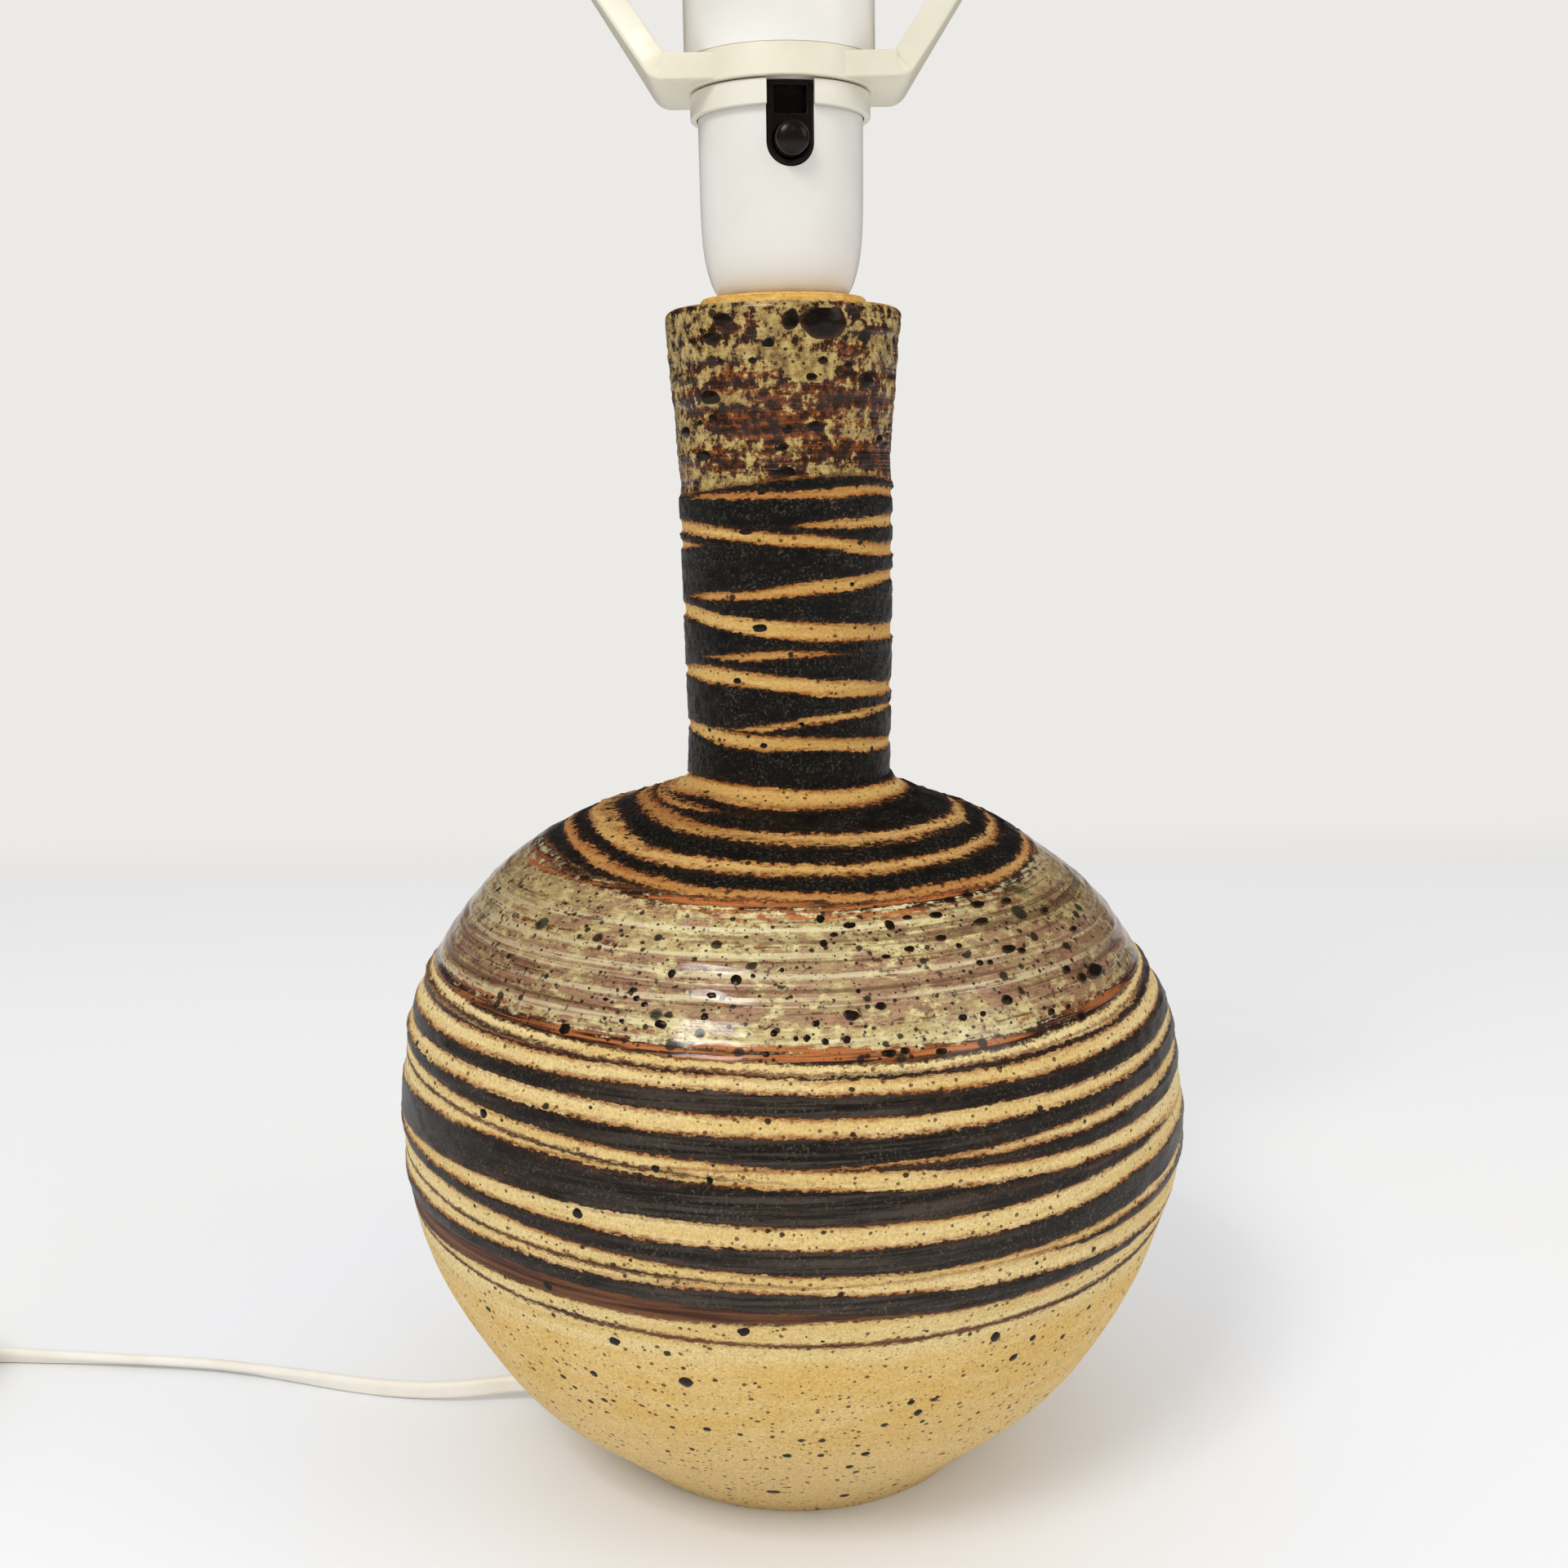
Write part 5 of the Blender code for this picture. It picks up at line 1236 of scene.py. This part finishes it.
back_spot_count, back_start, back_span, least_share, flatness = 60, 25, 130, 0.6, 0.72
back_heights = ((246, 282, 1.5), (128, 151, 1.1), (20, 62, 0.9), (90, 112, 0.9))
back_spots = []
for index in range(back_spot_count):
    low_height, high_height, size = back_heights[index % len(back_heights)]
    width = size * (least_share + scatter(index, 3))
    turned_to = scatter(index, 1) * back_span + back_start
    up = low_height + (high_height - low_height) * scatter(index, 2)
    back_spots.append((turned_to, up, width, width * flatness))
print(len(back_spots), "spots at the back")

# %% [markdown]
# One flat disc is spun, and a copy of it is laid on the pot for each spot. Its outline is made uneven, its
# middle is lifted to a dome, and its rim sinks a little into the surface, so that no gap shows.

# %% Iron spots
dome_rise, dome_least, dome_sides, dome_rings, spot_spread, uneven_share = 0.15, 0.00006, 20, 6, 1.18, 0.24
rim_sink, rim_from, lowest_spot, outline_waves, next_outline = 0.00025, 0.99, 0.001, 1.3, 3.7
disc = spun([(ring / dome_rings, 0.0) for ring in range(dome_rings + 1)], dome_sides, closed=False)
disc_mesh = bpy.data.meshes.new("disc")
disc.to_mesh(disc_mesh)
disc.free()


def lay_spot(verts, edge_layer, number, degrees, height, half_width, half_height):
    """Moves the points of a disc onto the pot."""
    middle, up = math.radians(degrees), height * millimetre
    across = outside_at(up)[1][0]
    dome = dome_rise * min(half_width, half_height) + dome_least
    for vert in verts:
        share, turn = vert.co.xy.length, math.atan2(vert.co.y, vert.co.x)
        round_it = Vector((math.cos(turn), math.sin(turn), 0.0)) * outline_waves
        uneven = noise.noise(round_it + Vector((0.0, 0.0, number * next_outline)))
        reach = share * (1 + uneven_share * uneven)
        spot_height = up + math.sin(turn) * half_height * reach * across
        spot_height = min(rim_height - rim_round, max(lowest_spot, spot_height))
        radius, (out, lean) = outside_at(spot_height)
        angle = middle + math.cos(turn) * half_width * reach / radius
        lift = dome * (1 - share**2) - (rim_sink if share > rim_from else 0.0)
        far_out = radius + (relief(angle, spot_height) + lift) * out
        vert.co = far_out * math.cos(angle), far_out * math.sin(angle), spot_height + lift * lean
        vert[edge_layer] = (share, share, share, 1.0)


spots_bm = bmesh.new()
edge_layer = spots_bm.verts.layers.float_color.new("spot_edge")
for number, (degrees, height_at, half_width, half_height) in enumerate((*front_spots, *back_spots)):
    start = len(spots_bm.verts)
    spots_bm.from_mesh(disc_mesh)
    spots_bm.verts.ensure_lookup_table()
    halves = half_width * spot_spread * millimetre, half_height * spot_spread * millimetre
    lay_spot(spots_bm.verts[start:], edge_layer, number, degrees, height_at, *halves)
bpy.data.meshes.remove(disc_mesh)
bmesh.ops.recalc_face_normals(spots_bm, faces=spots_bm.faces)
finished("iron_spots", spots_bm, blister.look, slot_name="stoneware")


# %% [markdown]
# ## More shape helpers
# A slab carries an outline of the X and Z directions along Y. A thread is pressed into a spun wall by moving
# its points in and out along a helix.


# %% Slabs and slots
def closed_off(bm, face, way):
    """A face drawn out along a way to a solid."""
    drawn = bmesh.ops.extrude_face_region(bm, geom=[face])["geom"]
    moved = [item for item in drawn if isinstance(item, bmesh.types.BMVert)]
    bmesh.ops.translate(bm, vec=way, verts=moved)
    bmesh.ops.recalc_face_normals(bm, faces=bm.faces)
    return bm


def slab(outline, start, end):
    bm = bmesh.new()
    face = bm.faces.new([bm.verts.new((x, start, z)) for x, z in outline])
    return closed_off(bm, face, (0.0, end - start, 0.0))


def slot_shape(half_width, bottom, top, steps=24):
    """A slot with a round bottom and a square top, as (x, z) points."""
    turns = [math.pi * step / steps for step in range(steps + 1)]
    arc = [(half_width * math.cos(turn), bottom + half_width * (1 - math.sin(turn))) for turn in turns]
    return [(half_width, top), *arc, (-half_width, top)]


print("a slot's outline has", len(slot_shape(1.0, 0.0, 4.0)), "points")


# %% Threads and joined shapes
def add_thread(bm, low, high, root, rise, pitch, run_out=0.0006):
    """Moves the points of one round wall outwards along a helix."""
    for vert in bm.verts:
        if low <= vert.co.z <= high and abs(vert.co.xy.length - root) < 1e-6:
            turn = math.atan2(vert.co.y, vert.co.x) / (2 * math.pi)
            wave = 0.5 + 0.5 * math.cos(2 * math.pi * ((vert.co.z - low) / pitch - turn))
            fade = min(1.0, (vert.co.z - low) / run_out, (high - vert.co.z) / run_out)
            scale = 1 + rise * wave * fade / root
            vert.co.x *= scale
            vert.co.y *= scale


def absorb(bm, *others):
    """Adds closed shapes to a bmesh."""
    for other in others:
        mesh = bpy.data.meshes.new("absorbed")
        other.to_mesh(mesh)
        other.free()
        bm.from_mesh(mesh)
        bpy.data.meshes.remove(mesh)
    return bm


def ramp(start, end, step):
    """Even values from start to end, both included."""
    count = max(1, round(abs(end - start) / step))
    return [start + (end - start) * index / count for index in range(count + 1)]


print("a thread's wall 3 mm high has", len(ramp(0.0, 0.0030, 0.00025)), "rows")

# %% [markdown]
# ## Lamp holder
# A white cup stands on the threaded tube, and a shell with a collar screws onto it. Both are cut by the slot
# of the switch, which goes through from front to back. The black housing sits in the slot a little behind
# the cup's surface. It has a square pocket at the top, and the round bar slides through it below that.
# The cup's wall curves in towards its foot, which a list of shares of its height and radius gives. The part
# of the shell above the collar carries the ring thread for the clamp sleeve, so its wall has many rows.

# %% Sizes of the holder
gap = 0.0003
cap_base, cap_top, cap_radius, cap_wall, cap_floor = 0.2866, 0.3300, 0.0193, 0.0018, 0.0030
collar_bottom, collar_top, collar_radius = 0.3268, 0.3323, 0.0210
slot_half, slot_bottom, slot_reach, housing_face = 0.0054, 0.3135, 0.03, 0.0189
thread_root, shell_bore, shell_top, mouth_radius, shell_lip = 0.0184, 0.0166, 0.3670, 0.0142, 0.0015
ring_thread_rise, ring_thread_pitch, ring_thread_row = 0.0008, 0.0030, 0.00025
ledge_bottom, ledge_top, ledge_bore = 0.3340, 0.3360, 0.0140
nut_seat_radius, nut_seat_top = 0.0090, 0.2966
foot_in, foot_up, cup_slot_top, slot_overrun = 0.0004, 0.0003, 0.3400, 0.00002
thread_from_collar, thread_from_top = 0.0003, 0.0010
round_sides, bar_sides, screw_sides, bush_sides, pin_sides, wall_step = 120, 64, 96, 48, 32, 0.0012
print("holder from", cap_base, "to", shell_top, "m")

# %% Holder cup
cup_shares = (
    (0.0, 0.772), (0.03, 0.824), (0.08, 0.876), (0.15, 0.924), (0.23, 0.958), (0.33, 0.980), (0.5, 0.993),
    (0.99, 1.0),
)
cap_height = cap_top - cap_base
cup_marks = [(cap_radius * out, cap_base + cap_height * up, 0.0) for up, out in cup_shares]
wall_line = [(p.x, p.y) for p in smooth_route(cup_marks, wall_step)]
floor_top = cap_base + cap_floor
cap_inside = [(r - cap_wall, z) for r, z in wall_line if z > floor_top + cap_wall][::3]
foot_radius = wall_line[0][0]
cap_outline = [
    (nipple_hole, cap_base), (foot_radius - foot_in, cap_base), (foot_radius, cap_base + foot_up),
    *wall_line[1:], (cap_radius, cap_top), (cap_radius - cap_wall, cap_top), *reversed(cap_inside),
    (cap_inside[0][0] - cap_wall, floor_top), (nut_seat_radius, floor_top), (nut_seat_radius, nut_seat_top),
    (nipple_hole, nut_seat_top),
]
slot_tool = slab(slot_shape(slot_half, slot_bottom, cup_slot_top), -slot_reach, slot_reach)
cup = cut_away(spun(cap_outline, round_sides), slot_tool)
cup_part = {"stands_for": ("holder_cap",), "place": holder_turn, "slot_name": "white_plastic"}
finished("holder_cup", cup, white_plastic, **cup_part)

# %% Holder shell
thread_low, thread_high = collar_top + thread_from_collar, shell_top - thread_from_top
threaded = [(thread_root, z) for z in ramp(thread_low, thread_high, ring_thread_row)]
shell_outline = rounded(
    [
        (cap_radius + gap, collar_bottom), (collar_radius, collar_bottom), (collar_radius, collar_top),
        (thread_root, collar_top), *threaded, (thread_root, shell_top), (mouth_radius, shell_top),
        (mouth_radius, shell_top - shell_lip), (shell_bore, shell_top - shell_lip), (shell_bore, ledge_top),
        (ledge_bore, ledge_top), (ledge_bore, ledge_bottom), (shell_bore, ledge_bottom),
        (shell_bore, cap_top + gap), (cap_radius + gap, cap_top + gap),
    ],
    [0, 0.0004, 0.0006, *(0,) * len(threaded), 0, 0.0005, 0.0004, *(0,) * 9],
)
shell_bm = spun(shell_outline, round_sides)
add_thread(shell_bm, thread_low, thread_high, thread_root, ring_thread_rise, ring_thread_pitch)
slot_tool = slab(slot_shape(slot_half, slot_bottom, collar_top + slot_overrun), -slot_reach, slot_reach)
shell_part = {"stands_for": ("holder_shell",), "place": holder_turn, "slot_name": "white_plastic"}
finished("holder_shell_part", cut_away(shell_bm, slot_tool), collar_plastic, **shell_part)

# %% [markdown]
# The switch's housing is a slab with the slot's own outline, a clearance smaller. A round bore goes through
# it for the bar, and a square pocket is sunk in at both ends. The bar is a rod with a low dome at each end.

# %% Switch housing
bar_height, bar_radius, bar_front, bar_rear, bar_dome = 0.3192, 0.00375, -0.0242, 0.0189, 0.0016
pocket_half, pocket_height, pocket_depth, pocket_edge, pocket_overrun = 0.0037, 0.0060, 0.0050, 0.0010, 0.004
to_the_front = Matrix.Rotation(math.pi / 2, 4, "X")
housing_outline = slot_shape(slot_half - gap, slot_bottom + gap, collar_top - gap)
bore_radius = bar_radius + gap
bore_outline = [(0.0, -slot_reach), (bore_radius, -slot_reach), (bore_radius, slot_reach), (0.0, slot_reach)]
bore = spun(bore_outline, bar_sides, closed=False)
bar_place = Matrix.Translation((0, 0, bar_height)) @ to_the_front
bmesh.ops.transform(bore, matrix=bar_place, verts=bore.verts)
housing = cut_away(slab(housing_outline, -housing_face, housing_face), bore)
pocket_top = collar_top - gap - pocket_edge
pocket = [(x, pocket_top - pocket_height) for x in (-pocket_half, pocket_half)]
pocket += [(x, pocket_top) for x in (pocket_half, -pocket_half)]
for side in (-1, 1):
    ends = side * (housing_face - pocket_depth), side * (housing_face + pocket_overrun)
    housing = cut_away(housing, slab(pocket, *ends))
end_edges = [
    edge
    for edge in housing.edges
    if len(edge.link_faces) == 2
    and all(abs(vert.co.y) > housing_face - 1e-5 for vert in edge.verts)
    and edge.calc_face_angle(0.0) > math.radians(50)
]
bevel = {"profile": 0.5, "affect": "EDGES", "material": -1, "clamp_overlap": True}
bmesh.ops.bevel(housing, geom=end_edges, offset=0.0003, segments=3, **bevel)
switch_part = {"stands_for": ("switch_housing",), "place": holder_turn, "slot_name": "black_plastic"}
finished("switch_block", housing, black_plastic, **switch_part)

# %% Push bar
dome_steps = 10
dome_turns = [math.pi / 2 * step / dome_steps for step in range(dome_steps + 1)]
dome = [(bar_radius * math.sin(t), bar_dome * math.cos(t)) for t in dome_turns]
bar_outline = [(r, -bar_front - bar_dome + rise) for r, rise in dome]
bar_outline += [(r, -bar_rear + bar_dome - rise) for r, rise in reversed(dome)]
bar_bm = spun(bar_outline, bar_sides, closed=False)
bar_part = {"body": "switch_bar", "stands_for": ("push_bar",), "slot_name": "black_plastic"}
finished("switch_button", bar_bm, black_plastic, place=holder_turn @ bar_place, **bar_part)

# %% [markdown]
# The screw shell for the bulb is thin rolled brass, so its thread shows on both sides. Both walls are moved
# along the same helix.

# %% Screw shell in the mouth
shell_low, shell_high, screw_radius, screw_wall = 0.3413, 0.36308, 0.0123, 0.0005
screw_rise, screw_pitch, screw_row, screw_run_out = 0.0010, 0.00363, 0.0003, 0.0010
outer_radius = screw_radius + screw_wall
levels = ramp(shell_low, shell_high, screw_row)
screw_outline = [*((screw_radius, z) for z in levels), *((outer_radius, z) for z in reversed(levels))]
screw_bm = spun(screw_outline, screw_sides)
for root in (outer_radius, screw_radius):
    add_thread(screw_bm, shell_low, shell_high, root, screw_rise, screw_pitch, run_out=screw_run_out)
finished("socket_thread", screw_bm, brass, stands_for=("screw_shell",), place=holder_turn, slot_name="brass")

# %% [markdown]
# ## Shade carrier and clamp sleeve
# The carrier is a bent channel of ivory plastic with two walls, a hub round the holder and a ring for the
# shade. Its section follows a line with a rounded bend at each arm's foot. The white sleeve above it clamps
# it down on the collar.

# %% Sizes of the carrier
carrier_base, carrier_top, wall_height, plate, wall = 0.3328, 0.3800, 0.0059, 0.0022, 0.0016
arm_slope, reach, bend_radius, knee_radius = math.radians(56.9), 0.0289, 0.0050, 0.0030
ring_inner, ring_outer, ring_height, web_reach, ring_overlap = 0.0485, 0.0515, 0.0060, 0.0512, 0.0028
hub_bore, hub_radius, hub_low, hub_top = 0.0198, 0.0221, 0.3326, 0.3396
hole_spare, hole_low, hole_high = 0.0008, 0.32, 0.35
width_marks = (
    (-1.0, 0.0170), (0.0, 0.0166), (0.0030, 0.0149), (0.0084, 0.0124), (0.0187, 0.0100), (0.0342, 0.0062),
    (1.0, 0.0062),
)
lean_full, lean_rise = 0.0008, 0.0187
flat_step, bend_steps, web_steps, knee_steps = 0.0026, 9, 15, 5
print("carrier", round((carrier_top - carrier_base) * 1000, 1), "mm high")


# %% Line of the arms
def arm_line():
    """(x, rise, heading) along the underside from the middle to the tip of the right arm."""
    line = [(x, 0.0, 0.0) for x in ramp(0.0, reach - bend_radius * math.tan(arm_slope / 2), flat_step)]
    x0 = line[-1][0]
    for step in range(1, bend_steps + 1):
        turn = arm_slope * step / bend_steps
        line.append((x0 + bend_radius * math.sin(turn), bend_radius * (1 - math.cos(turn)), turn))
    knee_turn = math.pi / 2 - arm_slope
    knee_rise = (web_reach - reach) * math.tan(arm_slope)
    before_knee = knee_radius * math.tan(knee_turn / 2)
    x1, z1 = line[-1][:2]
    x2 = web_reach - before_knee * math.cos(arm_slope)
    z2 = knee_rise - before_knee * math.sin(arm_slope)
    for step in range(1, web_steps + 1):
        share = step / web_steps
        line.append((x1 + (x2 - x1) * share, z1 + (z2 - z1) * share, arm_slope))
    for step in range(1, knee_steps + 1):
        turn = arm_slope + knee_turn * step / knee_steps
        x = x2 + knee_radius * (math.sin(turn) - math.sin(arm_slope))
        z = z2 + knee_radius * (math.cos(arm_slope) - math.cos(turn))
        line.append((x, z, turn))
    line.append((line[-1][0], carrier_top - ring_height - carrier_base + ring_overlap, math.pi / 2))
    return line


right_arm = arm_line()
left_arm = [(-x, z, -turn) for x, z, turn in reversed(right_arm[1:])]
print("arms of", len(left_arm) + len(right_arm), "sections")


# %% [markdown]
# The channel starts as one face, its section at the left tip. The face is extruded from place to place along
# the line, and its corners are moved to the section there, which narrows towards the tips.


# %% Channel of the carrier
def channel(half_width, lean):
    """(across, deep) corners of the section: a plate with two low walls that lean inwards."""
    inner = half_width - wall
    points = [
        (-half_width, 0.0), (half_width, 0.0), (half_width - lean, wall_height), (inner - lean, wall_height),
        (inner, plate), (-inner, plate), (-inner + lean, wall_height), (-half_width + lean, wall_height),
    ]
    return rounded(points, [0.0009, 0.0009, 0.0004, 0.0004, 0.0007, 0.0007, 0.0004, 0.0004])


def section_at(x, z, turn):
    inward = Vector((-math.sin(turn), 0.0, math.cos(turn)))
    corner = Vector((x, 0.0, carrier_base + z))
    corners = channel(between(width_marks, z), lean_full * min(1.0, z / lean_rise))
    return [corner + Vector((0.0, across, 0.0)) + inward * deep for across, deep in corners]


carrier_bm = bmesh.new()
first, *others = (*left_arm, *right_arm)
face = carrier_bm.faces.new([carrier_bm.verts.new(place) for place in section_at(*first)])
for number, station in enumerate(others):
    grown = bmesh.ops.extrude_face_region(carrier_bm, geom=[face])["geom"]
    if number:
        carrier_bm.faces.remove(face)
    face = next(item for item in grown if isinstance(item, bmesh.types.BMFace))
    for vert, place in zip(face.verts, section_at(*station)):
        vert.co = place
bmesh.ops.recalc_face_normals(carrier_bm, faces=carrier_bm.faces)
print("channel", len(carrier_bm.faces), "faces")

# %% Carrier
hole_radius = hub_bore + hole_spare
hole_outline = [(0.0, hole_low), (hole_radius, hole_low), (hole_radius, hole_high), (0.0, hole_high)]
carrier_bm = cut_away(carrier_bm, spun(hole_outline, round_sides, closed=False))


def hoop(inner, outer, low, high, radii):
    """A round ring with rounded corners."""
    outline = [(inner, low), (outer, low), (outer, high), (inner, high)]
    return spun(rounded(outline, radii), round_sides)


hub = hoop(hub_bore, hub_radius, hub_low, hub_top, [0.0002, 0.0005, 0.00015, 0.0002])
shade_ring = hoop(ring_inner, ring_outer, carrier_top - ring_height, carrier_top, [0.0008] * 4)
absorb(carrier_bm, hub, shade_ring)
carrier_part = {"body": "carrier", "stands_for": ("shade_carrier",), "slot_name": "ivory_plastic"}
finished("carrier_frame", carrier_bm, ivory_plastic, **carrier_part)

# %% Sleeve
sleeve_low, sleeve_top, sleeve_radius, sleeve_bore = 0.33964, 0.3704, 0.0222, 0.0195
lip_radius, lip_height = 0.0165, 0.0018
sleeve_outline = rounded(
    [
        (sleeve_bore, sleeve_low), (sleeve_radius, sleeve_low), (sleeve_radius, sleeve_top),
        (lip_radius, sleeve_top), (lip_radius, sleeve_top - lip_height),
        (sleeve_bore, sleeve_top - lip_height),
    ],
    [0.0001, 0.00015, 0.0009, 0.0005, 0.0003, 0.0],
)
sleeve_part = {"body": "sleeve", "stands_for": ("clamp_sleeve",), "slot_name": "white_plastic"}
finished("ring_sleeve", spun(sleeve_outline, round_sides), sleeve_plastic, **sleeve_part)

# %% [markdown]
# ## Bush and plug
# These lie outside the picture or behind the pot, so they follow the usual pattern: a tapered bush with
# grooves where the flex leaves the pot, and a flat two-pin plug with a ribbed neck.

# %% Bush in the pot's wall
bush_radius, bush_low, bush_high, bush_inside = 0.0041, -0.0062, 0.0194, 0.0012
groove_count, groove_pitch, groove_start, groove_end, groove_taper = 5, 0.0032, 0.0024, 0.0180, 0.0002
groove_shape = ((0.0, 0.0), (-0.00045, 0.0005), (-0.00045, 0.0011), (-0.0001, 0.0016))
exit_place = exit_tip - exit_way * bush_high
along_exit = Matrix.Translation(exit_place) @ exit_way.to_track_quat("Z", "Y").to_matrix().to_4x4()
bush_bore = flex_radius + gap
bush_line = [(bush_radius, bush_low), (bush_radius, bush_inside)]
for groove in range(groove_count):
    start = groove_start + groove * groove_pitch
    radius = bush_radius - groove_taper * groove
    bush_line += [(radius + out, start + along) for out, along in groove_shape]
bush_line = [(r, z) for r, z in bush_line if z < groove_end]
bush_tip = [(0.0033, 0.0190), (0.0030, bush_high), (bush_bore, bush_high)]
bush_part = {"stands_for": ("cord_grommet",), "place": along_exit, "slot_name": "white_plastic"}
bush_bm = spun([(bush_bore, bush_low), *bush_line, *bush_tip], bush_sides)
finished("flex_bush", bush_bm, white_plastic, **bush_part)

# %% Neck of the plug
plug_start = plug_end + Vector((0.0, -gap, 0.0))
backwards = Matrix.Translation(plug_start) @ to_the_front
relief_length, relief_slim, relief_radius, rib_count = 0.0240, 0.0035, 0.0044, 6
rib_shape = ((-0.0006, 0.0), (-0.0005, 0.0010), (0.0, 0.0015), (0.0, 0.0034))
relief_line = []
for rib in range(rib_count):
    start = relief_length * rib / rib_count
    radius = relief_slim + (relief_radius - relief_slim) * rib / (rib_count - 1)
    relief_line += [(radius + out, start + along) for out, along in rib_shape]
relief_outline = [(0.0, 0.0), *relief_line, (relief_radius, relief_length), (0.0, relief_length)]
plug_neck_bm = spun(relief_outline, bush_sides, closed=False)
neck_part = {"stands_for": ("plug_relief",), "place": backwards, "slot_name": "flex_plastic"}
plug_neck = finished("plug_neck", plug_neck_bm, flex_plastic, **neck_part)

# %% Plug
plug_length, plug_height, plug_round, plug_half = 0.0360, 0.0137, 0.0022, 0.01765
neck_y = plug_start.y - relief_length - gap
face_y = neck_y - plug_length
plan_marks = (
    (0.0060, neck_y), (0.0084, neck_y - 0.0050), (0.0111, neck_y - 0.0108), (0.0150, neck_y - 0.0175),
    (0.0174, face_y + 0.0130),
)
half_plan = [(p.x, p.y) for p in smooth_route([(x, y, 0.0) for x, y in plan_marks], wall_step)]
half_plan += [(plug_half, face_y + 0.0110), (plug_half, face_y)]
plan = [*half_plan, *((-x, y) for x, y in reversed(half_plan))]
plug_bm = bmesh.new()
low_face = plug_bm.faces.new([plug_bm.verts.new((plug_end.x + x, y, 0.0)) for x, y in plan])
closed_off(plug_bm, low_face, (0.0, 0.0, plug_height))
rims = [edge for edge in plug_bm.edges if abs(edge.verts[0].co.z - edge.verts[1].co.z) < 1e-7]
at_face = [edge for edge in plug_bm.edges if min(v.co.y for v in edge.verts) < face_y + 1e-6]
corners = [edge for edge in at_face if edge not in rims]
bmesh.ops.bevel(plug_bm, geom=[*rims, *corners], offset=plug_round, segments=6, **bevel)
plug = finished("plug_shape", plug_bm, flex_plastic, stands_for=("plug_body",), slot_name="flex_plastic")

# %% Pins of the plug
pin_radius, pin_length, pin_dome, pin_reach = 0.0020, 0.0176, 0.0014, 0.0095
pin_tip = [(pin_radius * math.cos(t), pin_length + pin_dome * math.sin(t)) for t in dome_turns[1:]]
pin_outline = [(0.0, 0.0), (pin_radius, 0.0), (pin_radius, pin_length), *pin_tip]
for name, side in (("left", -1), ("right", 1)):
    pin_place = Matrix.Translation((plug_end.x + side * pin_reach, face_y - gap, plug_end.z)) @ to_the_front
    pin_part = {"stands_for": (f"plug_pin_{name}",), "place": pin_place, "slot_name": "nickel"}
    finished(f"pin_{name}", spun(pin_outline, pin_sides, closed=False), nickel, **pin_part)

# %% [markdown]
# The flex ends at the plug, which lies with its pins beside the coil.

# %% End of the flex
print("the flex ends at the plug")

# %% [markdown]
